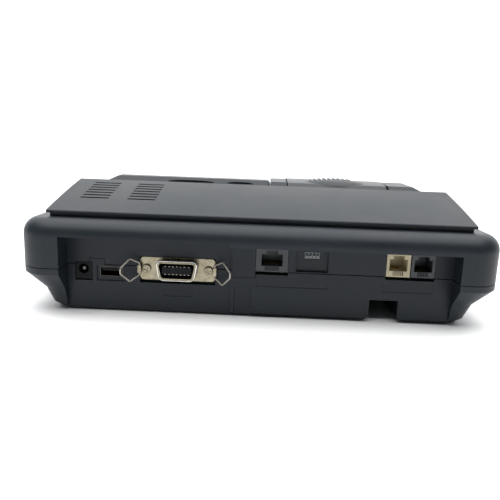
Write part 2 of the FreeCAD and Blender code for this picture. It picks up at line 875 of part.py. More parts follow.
def lower_case(windows):
    """The tub: flared sides, the lower part of the port wall, board posts and screw bosses."""
    flare_low, flare_high = "seam_z - rim_band - flare_height", "seam_z - rim_band"
    outer = tub("tub_outside", [
        ("case_z", "base_inset + sole_bevel", "base_corner_radius"),
        ("case_z + sole_bevel", "base_inset", "base_corner_radius"),
        (flare_low, "flare_inset", "base_corner_radius"),
        (flare_high, "0", "corner_radius"),
        ("seam_z - seam_gap", "0", "corner_radius"),
    ])
    inner_corner = "base_corner_radius - case_wall"
    inner = tub("tub_inside", [
        ("floor_z", "base_inset + case_wall", inner_corner),
        (flare_low, "flare_inset + case_wall", inner_corner),
        (flare_high, "case_wall", "corner_radius - case_wall"),
        ("seam_z + 1", "case_wall", "corner_radius - case_wall"),
    ])
    hollow = cut("tub_hollow", inner, port_block("tub_port_block", "0", "seam_z + 2"))
    shell = cut("tub_shell", outer, hollow, *recess_blocks("0", "tub"))
    extras = [rod(f"board_post_{place}", "Z", "post_radius", (x, y, "floor_z"), f"{top} - floor_z")
              for place, (x, y, top) in enumerate(board_spots())]
    extras += [rod(f"lower_boss_{place}", "Z", "boss_radius", (x, y, "case_z"), "boss_split")
               for place, (x, y) in enumerate(screw_spots())]
    notch_half = "notch_width / 2"
    notch_roof = "case_z + notch_height"
    extras.append(box("notch_hood", span("notch_side", "notch_width + 2 * case_wall"),
                      ("port_y - notch_depth - case_wall", "port_back_y"),
                      ("floor_z", f"{notch_roof} + case_wall")))
    body = fuse("tub_with_posts", shell, seam_tab("tab", "0"), *extras)
    left, right = f"notch_side - {notch_half}", f"notch_side + {notch_half}"
    notch = prism("notch", "XZ", [
        (f"{left} - notch_flare", "0"), (f"{right} + notch_flare", "0"),
        (f"{right} + notch_flare", "case_z"), (right, "case_z + notch_flare"), (right, notch_roof),
        (left, notch_roof), (left, "case_z + notch_flare"), (f"{left} - notch_flare", "case_z"),
    ], "-rear_y", "recess_depth + notch_depth")
    channel = box("pillar_channel", span("channel_side", "channel_width"),
                  ("port_y - channel_depth", "rear_y"), ("0", "case_z + channel_height"))
    holes = [rod(f"board_bore_{place}", "Z", "board_screw_radius + thread_gap",
                 (x, y, f"{top} - board_screw_bite"), "board_screw_bite")
             for place, (x, y, top) in enumerate(board_spots())]
    for place, (x, y) in enumerate(screw_spots()):
        holes.append(rod(f"seat_bore_{place}", "Z", "screw_head_radius + fit_gap", (x, y, "0"), "seat_z"))
        holes.append(rod(f"boss_bore_{place}", "Z", "screw_radius + fit_gap", (x, y, "0"), "split_z"))
    holes.append(seam_tongue("tongue_space", "fit_gap"))
    return node("lower_case", cut("lower_case", body, notch, channel, *holes, *label_panels(), *windows))


def key_spots():
    """Each key's name with its middle across the deck, its place down the deck and its width."""
    spots = {}
    for place, name in enumerate(DIAL_KEYS):
        row, column = divmod(place, DIAL_COLUMNS)
        middle = f"key_middle_side + {column - 1} * key_column_pitch"
        spots["key_" + name] = (middle, f"key_first_row + {row} * key_row_pitch", "key_width")
    for name, row in ACTION_KEYS.items():
        spots[name] = ("action_key_side", f"key_first_row + {row} * key_row_pitch", "action_key_width")
    return spots


def main_board_edges():
    """The main board's edges across and down the key deck, as pairs of formulas."""
    across = ("pad_left - main_board_margin", "pad_right + main_board_margin")
    return across, ("pad_start - main_board_margin / 2", "pad_end + main_board_margin / 2")


def main_board_spots():
    """Where the bosses under the key deck hold the main board, across and down the deck."""
    across, along = main_board_edges()
    inset = "main_board_margin / 2 - sheet_margin / 2"
    columns = (f"{across[0]} + board_screw_head_radius", f"{across[1]} - board_screw_head_radius")
    edge = f"{inset} + board_screw_head_radius"
    rows = (f"{along[0]} + {edge}", f"{along[1]} - ({edge})")
    return [(x, y) for x in columns for y in rows]


def upper_case(windows):
    """The top shell: rounded rim, upper part of the port wall, sloping key deck and its openings."""
    outer = case_block("case_outside", "0", "seam_z")
    inner = case_block("case_inside", "case_wall", "seam_z - 1")
    hollow = cut("case_hollow", inner, port_block("case_port_block", "0", "bay_z + case_wall"))
    shell = cut("case_shell", outer, hollow, *recess_blocks("seam_z - 1", "case"))
    pillars = fuse("boss_pillars", *[
        rod(f"upper_boss_{place}", "Z", "boss_radius", (x, y, "split_z"), "top_z - split_z")
        for place, (x, y) in enumerate(screw_spots())])
    reach = overlap("boss_reach", pillars, case_block("boss_limit", "0", "case_z"))
    studs = [deck_rod(f"board_stud_{place}", "board_screw_head_radius", x, along,
                      ("-sheet_bottom", "-case_wall / 2"))
             for place, (x, along) in enumerate(main_board_spots())]
    body = fuse("case_with_bosses", shell, reach, seam_tongue("tongue", "0"), *studs)
    gap = "2 * fit_gap"
    openings = [
        deck_box(f"{name}_hole", span(middle, f"{width} + {gap}"), span(along, f"key_length + {gap}"),
                 ("-case_wall - 1", "1"))
        for name, (middle, along, width) in key_spots().items()]
    openings.append(deck_box("card_recess", span("card_side", "card_width"),
                             ("card_start", "card_start + card_length"), ("-card_depth", "1")))
    openings.append(seam_tab("tab_space", "fit_gap"))
    through = ("under_top_z - 1", "top_z + 1")
    inset = "2 * housing_wall"
    openings.append(box("printer_opening", (f"printer_left + {inset}", f"printer_right - {inset}"),
                        (f"housing_front_y + {inset}", "housing_rear_y - housing_wall"), through))
    openings.append(box("display_opening", span("display_side", "panel_width"),
                        ("housing_front_y + 4 * housing_wall", "bevel_y"), through))
    openings.append(rod("speaker_hole", "Z", "speaker_radius - speaker_rim + fit_gap",
                        ("speaker_side", "rear_y - speaker_setback", "under_top_z - 1"), "case_wall + 2"))
    openings += [rod(f"pilot_{place}", "Z", "screw_radius + thread_gap", (x, y, "split_z"),
                     "screw_bite + 1") for place, (x, y) in enumerate(screw_spots())]
    openings += [deck_rod(f"stud_pilot_{place}", "board_screw_radius + thread_gap", x, along,
                          ("-sheet_bottom", "-case_wall - fit_gap"))
                 for place, (x, along) in enumerate(main_board_spots())]
    return node("upper_case", cut("upper_case", body, *openings, *windows))


def hood_form(name, inset, low, rounded):
    """The hood's form, drawn in by an inset: a slightly crowned slope from the rear lip up to the crest."""
    rear, front = f"hood_rear_y - {inset}", f"hood_front_y + {inset}"
    crest = f"top_z + hood_height - {inset}"
    radius = f"hood_radius - {inset}"
    lip = f"top_z + hood_lip + {inset} * (tan(hood_slope) - 1 / cos(hood_slope))"
    foot = [(rear, lip, radius)]
    if rounded:
        foot = [(rear, f"{lip} - lip_reach", "hood_lip_radius"),
                (f"{rear} - lip_reach * cos(lip_angle)", f"{lip} + lip_reach * sin(lip_angle)", radius)]
    outline = [(rear, low), *foot, ("hood_crest_y", crest), (front, f"{crest} - hood_fall"), (front, low)]
    width = f"hood_width - 2 * {inset}"
    return prism(name, "YZ", outline, f"-({width}) / 2", width)


def rear_hood():
    """The sloping cover behind the housings, with a shadow gap along its foot and two groups of vents."""
    outer = hood_form("hood_outside", "0", "top_z", True)
    inner = hood_form("hood_inside", "hood_wall", "top_z - 1", False)
    side = "hood_width / 2"
    skirt = box("hood_foot", (f"-{side} - 1", f"{side} + 1"), ("hood_front_y - 1", "hood_rear_y + 1"),
                ("top_z - 1", "top_z + shadow_gap"))
    seat = box("hood_seat", (f"-{side} + shadow_depth", f"{side} - shadow_depth"),
               ("hood_front_y - 2", "hood_rear_y - shadow_depth"), ("top_z - 2", "top_z + shadow_gap + 1"))
    ring = cut("hood_shadow", skirt, seat)
    vents = [box(f"vent_{group_name}_{place}", span(middle, "vent_length"),
                 span(f"rear_y - vent_setback - {place} * vent_pitch", "vent_width"),
                 ("top_z + hood_lip", "top_z + hood_height + 1"))
             for group_name, middle in (("outer", "vent_outer_side"), ("inner", "vent_inner_side"))
             for place in range(VENT_COUNT)]
    return node("rear_hood", cut("rear_hood", outer, inner, ring, *vents))


def feet():
    """Four flat rubber feet under the tub."""
    pads = [rod(f"foot_{place}", "Z", "foot_radius", (f"{side} * foot_side", depth, "0"), "foot_height")
            for place, (side, depth) in enumerate(
                (side, depth) for side in SIDES
                for depth in ("rear_y - foot_setback", "front_y + foot_setback"))]
    return node("rubber_feet", group("rubber_feet", *pads))


def screw(name, place, head, shank, drive):
    """A pan screw from its head upwards or downwards; head and shank are (radius, height) formulas."""
    x, y, seat = place
    below_head, below_shank = f"{seat} - ({head[1]})", f"{seat} - ({shank[1]})"
    head_z, shank_z = (below_head, seat) if drive > 0 else (seat, below_shank)
    return fuse(name, rod(name + "_head", "Z", head[0], (x, y, head_z), head[1]),
                rod(name + "_shank", "Z", shank[0], (x, y, shank_z), shank[1]))


def fasteners():
    """The case screws, driven from below, and the screws of the boards."""
    head = ("screw_head_radius", "screw_head_height")
    shank = ("screw_radius", "split_z + screw_bite - seat_z")
    case = [screw(f"case_screw_{place}", (x, y, "seat_z"), head, shank, 1)
            for place, (x, y) in enumerate(screw_spots())]
    node("case_screws", group("case_screws", *case))
    head = ("board_screw_head_radius", "board_screw_head_height")
    shank = ("board_screw_radius", "board_screw_bite + board_thickness - fit_gap")
    board = [screw(f"board_screw_{place}", (x, y, f"{top} + board_thickness"), head, shank, -1)
             for place, (x, y, top) in enumerate(board_spots())]
    for place, (x, along) in enumerate(main_board_spots()):
        bottom = "-sheet_bottom - board_thickness"
        parts = [deck_rod(f"deck_screw_head_{place}", "board_screw_head_radius", x, along,
                          (f"{bottom} - board_screw_head_height", bottom)),
                 deck_rod(f"deck_screw_shank_{place}", "board_screw_radius", x, along,
                          (bottom, "-case_wall - 2 * fit_gap"))]
        board.append(fuse(f"deck_screw_{place}", *parts))
    node("board_screws", group("board_screws", *board))


# Boards and ports

def rear_board(name, x, top, spots):
    """A board behind the port wall with a screw hole at each of its posts."""
    blank = box(name + "_blank", x, ("board_end_y", "board_y"), (f"{top} - board_thickness", top))
    holes = [rod(f"{name}_hole_{place}", "Z", "board_screw_radius + thread_gap",
                 (spot_x, spot_y, f"{top} - 2 * board_thickness"), "3 * board_thickness")
             for place, (spot_x, spot_y, _) in enumerate(spots)]
    return node(name, cut(name, blank, *holes))


def rear_boards():
    """The power board and the line board."""
    spots = board_spots()
    half = len(spots) // 2
    rear_board("power_board", ("power_board_side", "board_edge"), "power_top_z", spots[:half])
    rear_board("line_board", ("-board_edge", "line_board_reach"), "line_top_z", spots[half:])


def power_inlet():
    """The power inlet block with its round socket and centre pin."""
    axis = ("dc_side", "bay_y - dc_bore_depth", "power_top_z + dc_bore_lift")
    block = box("dc_block", span("dc_side", "dc_width"), ("bay_y - dc_length", "bay_y"),
                ("power_top_z", "power_top_z + dc_height"))
    socket = rod("dc_socket", "Y", "dc_bore_radius", axis, "dc_bore_depth + 1")
    node("power_inlet", cut("power_inlet", block, socket))
    node("power_inlet_pin", rod("power_inlet_pin", "Y", "dc_pin_radius", axis, "dc_bore_depth - 1"))


def usb_port():
    """The USB-size port: a sheet shell, and the plastic tongue with its base under the shell."""
    y = ("bay_y - usb_length", "bay_y - usb_frame_depth")
    z = ("usb_z", "usb_z + usb_height")
    outside = box("usb_outside", span("usb_side", "usb_width"), y, z)
    inside = box("usb_inside", span("usb_side", "usb_width - 2 * usb_sheet"),
                 ("bay_y - usb_length - 1", "bay_y + 1"),
                 ("usb_z + usb_sheet", "usb_z + usb_height - usb_sheet"))
    node("usb_shell", cut("usb_shell", outside, inside))
    rise = "usb_z + usb_height - usb_sheet - 2 * fit_gap - usb_tongue_height"
    back = ("bay_y - usb_length - usb_back", "bay_y - usb_length")
    tongue = box("usb_bar", span("usb_side", "usb_tongue_width"), (back[0], "bay_y - usb_frame_depth - 1"),
                 (rise, f"{rise} + usb_tongue_height"))
    rear = box("usb_rear", span("usb_side", "usb_width"), back, ("power_top_z", "usb_z + usb_height"))
    base = box("usb_base", span("usb_side", "usb_width"), (back[0], "port_back_y - fit_gap"),
               ("power_top_z", "usb_z"))
    node("usb_tongue", fuse("usb_tongue", tongue, rear, base))


def shell_outline(inset):
    """The ribbon port's keyed outline, wider at its top, as corners in X and Z."""
    low, high = f"ribbon_z - shell_height / 2 + {inset}", f"ribbon_z + shell_height / 2 - {inset}"
    top, bottom = f"shell_top_width / 2 - {inset}", f"shell_bottom_width / 2 - {inset}"
    return [(f"ribbon_side - ({bottom})", low), (f"ribbon_side + {bottom}", low),
            (f"ribbon_side + {top}", high), (f"ribbon_side - ({top})", high)]


def bail_lugs():
    """The lugs at the ends of the flange that hold the bails, and the bores of their pivots."""
    lugs, bores = [], []
    for side in SIDES:
        pivot = f"ribbon_side + {side} * bail_side"
        tag = f"{side}".replace("-", "n")
        low, high = span("ribbon_z", "lug_height")
        lugs.append(box(f"lug_{tag}", span(pivot, "lug_width"), ("bay_y", "bay_y + lug_reach"),
                        (low, high)))
        bores.append(rod(f"lug_bore_{tag}", "Z", "bail_wire_radius + pin_gap",
                         (pivot, "bay_y + bail_stand", f"{low} - 1"), "lug_height + 2"))
    return lugs, bores


def ribbon_port():
    """The ribbon port: flange with keyed shell and ears, insulator, contacts and flange screws."""
    plate = prism("plate_blank", "XZ", [
        ("ribbon_side - plate_width / 2", "ribbon_z - plate_height / 2"),
        ("ribbon_side + plate_width / 2", "ribbon_z - plate_height / 2"),
        ("ribbon_side + plate_width / 2", "ribbon_z + plate_height / 2"),
        ("ribbon_side - plate_width / 2", "ribbon_z + plate_height / 2"),
    ], "-bay_y", "plate_thickness")
    round_edges(plate, "plate_radius", lambda edge: edge.BoundBox.YLength > 0.5)
    outside = prism("shell_outside", "XZ", shell_outline("0"), "-(bay_y + shell_reach)",
                    "shell_reach + plate_thickness")
    inside = prism("shell_inside", "XZ", shell_outline("shell_sheet"), "-(bay_y + shell_reach + 1)",
                   "shell_reach + plate_thickness + 2")
    for sleeve, radius in ((outside, "shell_radius"), (inside, "shell_radius - shell_sheet")):
        round_edges(sleeve, radius, lambda edge: edge.BoundBox.YLength > 1)
    lugs, holes = bail_lugs()
    holes += [rod(f"flange_hole_{side}".replace("-", "n"), "Y", "flange_screw_radius + thread_gap",
                  (f"ribbon_side + {side} * flange_screw_side", "bay_y - 3 * plate_thickness", "ribbon_z"),
                  "4 * plate_thickness") for side in SIDES]
    solid = fuse("flange_solid", plate, outside, *lugs)
    node("ribbon_flange", cut("ribbon_flange", solid, inside, *holes))
    back = "bay_y - plate_thickness"
    rear = f"{back} - insulator_back"
    block = box("insulator_block", span("ribbon_side", "plate_width"), (rear, back),
                ("ribbon_z - plate_height / 2", "ribbon_z + shell_height / 2"))
    foot = box("insulator_foot", span("ribbon_side", "plate_width"), (rear, "port_back_y - fit_gap"),
               ("power_top_z", "ribbon_z"))
    bar = box("insulator_bar", span("ribbon_side", "insulator_width"), (back, "bay_y + shell_reach - 1"),
              span("ribbon_z", "insulator_height"))
    bores = [rod(f"insulator_bore_{side}".replace("-", "n"), "Y", "flange_screw_radius + thread_gap",
                 (f"ribbon_side + {side} * flange_screw_side", f"{back} - flange_screw_length", "ribbon_z"),
                 "flange_screw_length") for side in SIDES]
    node("ribbon_insulator", cut("ribbon_insulator", fuse("insulator_solid", block, foot, bar), *bores))
    contacts = []
    contact_tip = "bay_y + shell_reach - contact_setback"
    for level in SIDES:
        face = f"ribbon_z + {level} * insulator_height / 2"
        tip = f"{face} + {level} * contact_thickness"
        low, high = (face, tip) if level > 0 else (tip, face)
        for place in range(CONTACTS_IN_ROW):
            middle = f"ribbon_side + {place - CONTACTS_IN_ROW // 2} * contact_pitch"
            contacts.append(box(f"contact_{level}_{place}".replace("-", "n"), span(middle, "contact_width"),
                                (f"{contact_tip} - contact_length", contact_tip), (low, high)))
    node("ribbon_contacts", group("ribbon_contacts", *contacts))
    screws = []
    for side in SIDES:
        x = f"ribbon_side + {side} * flange_screw_side"
        tag = f"flange_screw_{side}".replace("-", "n")
        screws.append(fuse(tag, rod(tag + "_head", "Y", "flange_head_radius", (x, "bay_y", "ribbon_z"),
                                    "flange_head_height"),
                           rod(tag + "_shank", "Y", "flange_screw_radius",
                               (x, "bay_y - plate_thickness - flange_screw_length + 1", "ribbon_z"),
                               "flange_screw_length + plate_thickness - 1")))
    node("flange_screws", group("flange_screws", *screws))


def bent_wire(corners, bend, radius):
    """A round wire through corners with equal bends."""
    edges = []
    start = corners[0]
    for before, corner, after in zip(corners, corners[1:], corners[2:]):
        inward, outward = (before - corner).normalize(), (after - corner).normalize()
        half = inward.getAngle(outward) / 2
        setback = bend / math.tan(half)
        first, last = corner + inward * setback, corner + outward * setback
        middle = corner + (inward + outward).normalize() * (bend / math.sin(half) - bend)
        edges.append(Part.LineSegment(start, first).toShape())
        edges.append(Part.Arc(first, middle, last).toShape())
        start = last
    edges.append(Part.LineSegment(start, corners[-1]).toShape())
    ring = Part.Wire(Part.makeCircle(radius, corners[0], corners[1] - corners[0]))
    return Part.Wire(edges).makePipeShell([ring], True, False)


def bails():
    """Two wire bails that swing about upright pivots in the ears of the ribbon port."""
    path = [V(0, 0, value("bail_end")), V(0, 0, value("bail_foot")),
            V(value("bail_shoulder"), 0, value("bail_rise")), V(value("bail_reach"), 0, value("bail_tip"))]
    path += [V(corner.x, 0, -corner.z) for corner in reversed(path)]
    loop = bent_wire(path, value("bail_bend"), value("bail_wire_radius"))
    angle = value("bail_angle")
    for name, side in (("left_bail", 1), ("right_bail", -1)):
        bail = doc.addObject("Part::Feature", name)
        bail.Shape = loop
        turn = angle if side > 0 else 180 - angle
        pivot = (f"ribbon_side + {side} * bail_side", "bay_y + bail_stand", "ribbon_z")
        bail.Placement = FreeCAD.Placement(V(*map(value, pivot)), FreeCAD.Rotation(V(0, 0, 1), turn))
        node(name, bail)


def row_middle(side, place, count):
    """The middle of one of a row of evenly spaced wires or slots about a side."""
    return f"{side} + ({place} - {(count - 1) / 2}) * wire_pitch"


def jack(name, side, width, opening, wires, slots):
    """A modular jack block with a plug opening, its latch notch and comb, and its contact wires."""
    low = "line_top_z + jack_sill"
    block = box(name + "_block", span(side, width), ("port_y - jack_length", "port_y"),
                ("line_top_z", "line_top_z + jack_height"))
    mouth = ("port_y - jack_pocket", "port_y + 1")
    plug = box(name + "_plug", span(side, opening), mouth, (low, f"{low} + jack_plug_height"))
    latch = box(name + "_latch", span(side, "latch_width"), mouth,
                (low, f"{low} + jack_plug_height + latch_height"))
    comb = [box(f"{name}_slot_{place}", span(row_middle(side, place, slots), "comb_slot"),
                ("port_y - comb_depth", "port_y + 1"), (f"{low} - comb_height", f"{low} + fit_gap"))
            for place in range(slots)]
    node(name, cut(name, block, plug, latch, *comb))
    return [box(f"{name}_wire_{place}", span(row_middle(side, place, wires), "wire_size"),
                ("port_y - jack_pocket", "port_y - jack_pocket + wire_length"), (low, f"{low} + wire_size"))
            for place in range(wires)]


def line_jacks():
    """The network, line and phone jacks on the line board."""
    network = ("network_side", "network_width", "network_opening", NETWORK_WIRES, NETWORK_SLOTS)
    phone = ("phone_width", "phone_opening", PHONE_WIRES, PHONE_SLOTS)
    wires = jack("network_jack", *network)
    wires += jack("line_jack", "line_side", *phone)
    wires += jack("phone_jack", "phone_side", *phone)
    node("jack_contacts", group("jack_contacts", *wires))


def setting_switches():
    """The block of setting switches behind the port wall and its four sliders."""
    face = "port_y - switch_pocket_depth"
    back = box("switch_back", span("switch_side", "switch_width"),
               ("port_back_y - fit_gap - switch_depth", "port_back_y - fit_gap"),
               ("line_top_z", "line_top_z + switch_height"))
    nose = box("switch_nose", span("switch_side", "nose_width"), ("port_back_y - fit_gap", face),
               span("nose_z", "nose_height"))
    tracks = []
    for place in range(SLIDER_COUNT):
        middle = f"switch_side + ({place} - {(SLIDER_COUNT - 1) / 2}) * slider_pitch"
        low = "nose_z - slider_height / 2 - slider_travel / 2"
        tracks.append(box(f"slider_track_{place}", span(middle, "slider_width + fit_gap"),
                          (f"{face} - slider_depth", f"{face} + 1"),
                          (f"{low} - fit_gap / 2", f"{low} + slider_height + slider_travel + fit_gap / 2")))
        label = f"setting_slider_{place + 1}"
        node(label, box(label, span(middle, "slider_width"),
                        (f"{face} - slider_depth + fit_gap / 2", f"{face} + slider_proud"),
                        (low, f"{low} + slider_height")))
    node("setting_switch_block", cut("setting_switch_block", fuse("switch_solid", back, nose), *tracks))


def speaker():
    """The speaker under the vents, seated in the top of the case."""
    seat, cone = "speaker_radius - speaker_rim", "speaker_radius - 2 * speaker_rim"
    rim = turned("speaker", [
        ("magnet_radius / 2", "-cone_depth"), (cone, "speaker_rim_height / 2"),
        (cone, "speaker_rim_height"), ("speaker_radius", "speaker_rim_height"),
        ("speaker_radius", "0"), (seat, "0"), (seat, "-case_wall"),
        ("magnet_radius", "-cone_depth - case_wall"), ("magnet_radius", "-speaker_depth"),
        ("0", "-speaker_depth"), ("0", "-cone_depth"),
    ], ("speaker_side", "rear_y - speaker_setback"))
    bind(rim, "Placement.Base.z", "top_z")
    node("speaker", rim)


# Housings on top of the case

def end_wedge(name, end, side, crest, lower):
    """A wedge that bevels the end of a housing, lowered by a formula; side is the end's direction."""
    top, out = f"{crest} - ({lower})", f"{end} + {side}"
    slope = "housing_end_drop / housing_end_run"
    start = f"{end} - {side} * housing_end_run"
    outline = [(start, top), (out, f"{top} - housing_end_drop - {slope}"), (out, f"{crest} + 1"),
               (start, f"{crest} + 1")]
    if side < 0:
        outline.reverse()
    return prism(name, "XZ", outline, "-(housing_rear_y + 1)", "housing_rear_y - housing_front_y + 2")


def printer_form(name, inset, low):
    """The printer housing's form, drawn in by an inset: bevelled behind and falling to a front ledge."""
    rear, front = f"housing_rear_y - {inset}", f"housing_front_y + {inset}"
    top, ledge = f"housing_z - {inset}", f"ledge_z - {inset}"
    outline = [(rear, low), (rear, f"top_z + housing_rear_height - {inset} / 2"),
               (f"bevel_y - {inset} / 2", top), ("bevel_y - printer_flat", top),
               ("cover_front_y - tear_length / 2", ledge), (front, ledge), (front, low)]
    form = prism(name, "YZ", outline, f"printer_left + {inset}", f"printer_width - 2 * {inset}")
    wedge = end_wedge(name + "_end", f"printer_left + {inset}", -1, "housing_z", f"{inset} / 2")
    return form, wedge


def printer_housing():
    """The shell round the printer, open above for the cover and the paper."""
    form, wedge = printer_form("printer_outside", "0", "top_z")
    inner_form, inner_wedge = printer_form("printer_inside", "housing_wall", "top_z - 1")
    inner = cut("printer_hollow", inner_form, inner_wedge)
    mouth = box("cover_mouth", ("cover_left - cover_gap", "cover_right + cover_gap"),
                ("cover_front_y - tear_length / 2", "cover_rear_y + cover_gap"),
                ("top_z + housing_wall", "housing_z + 1"))
    reliefs = [box(name + "_relief", x, ("hinge_y - hinge_lug_length - fit_gap", "frame_rear_y + fit_gap"),
                   ("top_z + housing_wall", "hinge_z + hinge_lug_rise + fit_gap"))
               for name, x in (("left", ("frame_left - frame_sheet - fit_gap", "cover_left")),
                               ("right", ("cover_right", "frame_right + frame_sheet + fit_gap")))]
    node("printer_housing", cut("printer_housing", form, wedge, inner, mouth, *reliefs))


def display_form(name, inset, low):
    """The display housing's wedge, drawn in by an inset."""
    rear, front = f"housing_rear_y - {inset}", f"housing_front_y + {inset}"
    crest = f"display_z - {inset}"
    fall = "tan(slope_angle)"
    slope_start = f"slope_y - {inset} / 4"
    outline = [(rear, low), (rear, f"top_z + housing_rear_height - {inset} / 2"),
               (f"bevel_y - {inset} / 2", crest), (slope_start, crest),
               (front, f"{crest} - ({slope_start} - ({front})) * {fall}"), (front, low)]
    width = f"display_width - 2 * {inset}"
    return prism(name, "YZ", outline, f"display_left + {inset}", width)


def slope_box(name, x, along, above):
    """A block on the display's sloping face between formulas across, down and off the face."""
    block = doc.addObject("Part::Box", name)
    for prop, (low, high) in zip(("Length", "Width", "Height"), (x, along, above)):
        bind(block, prop, f"({high}) - ({low})")
    angle = math.radians(value("slope_angle"))
    run, rise = value(along[1]), value(above[0])
    point = V(value(x[0]), value("slope_y") - run * math.cos(angle) - rise * math.sin(angle),
              value("display_z") - run * math.sin(angle) + rise * math.cos(angle))
    block.Placement = FreeCAD.Placement(point, FreeCAD.Rotation(V(1, 0, 0), value("slope_angle")))
    return block


def display():
    """The display housing with its window and the panel behind it."""
    outer = display_form("display_outside", "0", "top_z")
    ends = (value("display_left"), value("display_right"))

    def end_edge(edge):
        size = edge.BoundBox
        at_end = size.XLength < 0.01 and min(abs(size.Center.x - end) for end in ends) < 0.01
        return at_end and size.ZMin > value("top_z") + 1 and size.YLength > 0.5

    round_edges(outer, "housing_edge_radius", end_edge)
    wedge = end_wedge("display_end", "display_right", 1, "display_z", "0")
    inner = cut("display_hollow", display_form("display_inside", "housing_wall", "top_z - 1"),
                end_wedge("display_inside_end", "display_right - housing_wall", 1, "display_z",
                          "housing_wall / 2"))
    across = span("display_side", "window_width")
    middle = "window_setback - display_flat"
    along = span(middle, "window_length")
    seat = slope_box("window_seat", span("display_side", "window_width + 2 * fit_gap"),
                     span(middle, "window_length + 2 * fit_gap"), ("-window_seat", "1"))
    view = slope_box("window_view", span("display_side", "panel_width - 4 * fit_gap"),
                     span(middle, "panel_length - 4 * fit_gap"), ("-2 * housing_wall", "1"))
    scoops = [dome(f"{name}_scoop", (name + "_scoop_side", "rear_y - scoop_setback", "top_z + scoop_lift"),
                   (name + "_scoop_width / 2", "scoop_depth", "scoop_height / 2"))
              for name in ("long", "short")]
    node("display_housing", cut("display_housing", outer, wedge, inner, seat, view, *scoops))
    node("display_window", slope_box("display_window", across, along,
                                     ("-window_seat", "window_thickness - window_seat")))
    node("display_panel", slope_box("display_panel", span("display_side", "panel_width"),
                                    span(middle, "panel_length"),
                                    ("-housing_wall - panel_thickness", "-housing_wall")))


# Printer works

def printer_frame():
    """The frame with two side plates, the roll bucket between them and a front crossbar."""
    rear, front = "frame_rear_y", "frame_front_y"
    sides = {"left": ("frame_left - frame_sheet", "frame_left"),
             "right": ("frame_right", "frame_right + frame_sheet")}
    plates = [box(name + "_plate", x, (front, rear), ("floor_z", "frame_top_z"))
              for name, x in sides.items()]
    plates += [box(name + "_hinge_lug", x, ("hinge_y - hinge_lug_length", rear),
                   ("frame_top_z - 1", "hinge_z + hinge_lug_rise")) for name, x in sides.items()]
    across = "frame_right - frame_left"
    pipe = rod("bucket_outside", "X", "bucket_radius + bucket_sheet",
               ("frame_left", "roll_y", "bucket_z"), across)
    bore = rod("bucket_inside", "X", "bucket_radius",
               ("frame_left - 1", "roll_y", "bucket_z"), f"{across} + 2")
    upper = box("bucket_upper", ("frame_left - 1", "frame_right + 1"), span("roll_y", "4 * bucket_radius"),
                ("bucket_z", "bucket_z + 2 * bucket_radius"))
    bucket = cut("bucket", pipe, bore, upper)
    crossbar = box("crossbar", ("frame_left - frame_sheet", "frame_right + frame_sheet"),
                   (front, f"{front} + frame_sheet"), ("roll_z", "frame_top_z"))
    solid = fuse("frame_solid", *plates, bucket, crossbar)
    start, through = "frame_left - frame_sheet - 1", f"{across} + 2 * frame_sheet + 2"
    holes = [rod("hinge_holes", "X", "hinge_radius + pin_gap", (start, "hinge_y", "hinge_z"), through),
             rod("head_holes", "X", "head_pivot_radius + pin_gap", (start, "head_mid_y", "pivot_z"),
                 through),
             rod("motor_hole", "X", "motor_shaft_radius + fit_gap", (start, "platen_y", "pinion_z"),
                 "frame_sheet + 2")]
    node("printer_frame", cut("printer_frame", solid, *holes))


def printer_cover():
    """The cover over the roll: an arched sheet with a domed grip place, hinge knuckles and platen arms."""
    outline = [("cover_front_y", "cover_front_z - cover_sheet"),
               ("cover_bevel_y", "cover_bevel_z - cover_sheet"),
               ("cover_rear_y", "cover_rear_z - cover_sheet"), ("cover_rear_y", "cover_rear_z"),
               ("cover_bevel_y", "cover_bevel_z", "cover_radius"), ("cover_front_y", "cover_front_z")]
    arch = prism("cover_arch", "YZ", outline, "cover_left", "cover_width")
    swell = dome("cover_swell", ("cover_side", "rear_y - dome_setback", "top_z + dome_lift"),
                 ("dome_width / 2", "dome_length / 2", "dome_rise"))
    knuckles, pins = [], []
    width = "hinge_knuckle_width"
    for name, low, pin in (("left", "cover_left", "frame_left - frame_sheet"),
                           ("right", f"cover_right - {width}", "cover_right - fit_gap")):
        knuckles.append(rod(name + "_knuckle", "X", "hinge_knuckle_radius",
                            (low, "hinge_y", "hinge_z"), width))
        pins.append(rod(name + "_hinge_pin", "X", "hinge_radius", (pin, "hinge_y", "hinge_z"),
                        "frame_gap + frame_sheet + fit_gap"))
    arm_z = ("platen_z - platen_shaft_radius - arm_sheet", "cover_front_z - cover_sheet / 2")
    arms = [box(name, (left, f"{left} + arm_sheet"), span("platen_y", "arm_length"), arm_z)
            for name, left in (("left_arm", "arm_left"), ("right_arm", "platen_right + fit_gap"))]
    bearings = rod("platen_bearings", "X", "platen_shaft_radius + pin_gap",
                   ("gear_left", "platen_y", "platen_z"), "cover_right - gear_left")
    upper = overlap("cover_dome", swell, box("dome_limit", ("cover_left", "cover_right"),
                                             ("cover_front_y", "cover_rear_y"),
                                             ("cover_front_z - cover_sheet / 2", "grip_z")))
    below = prism("dome_underside", "YZ", [
        ("cover_front_y", "top_z"), ("cover_rear_y", "top_z"),
        ("cover_rear_y", "cover_rear_z - cover_sheet"),
        ("cover_bevel_y", "cover_bevel_z - cover_sheet"),
        ("cover_front_y", "cover_front_z - cover_sheet"),
    ], "cover_left", "cover_width")
    hole = box("grip_hole", *grip_edges("fit_gap"), ("top_z", "grip_z + 1"))
    solid = fuse("cover_solid", arch, cut("cover_dome_cap", upper, below), *knuckles, *pins, *arms)
    relief = rod("gear_relief", "X", "gear_module * (gear_teeth / 2 + 1) + 2 * fit_gap",
                 ("cover_left - 1", "platen_y", "platen_z"), "gear_right + fit_gap / 2 - cover_left + 1")
    node("printer_cover", cut("printer_cover", solid, bearings, hole, relief))


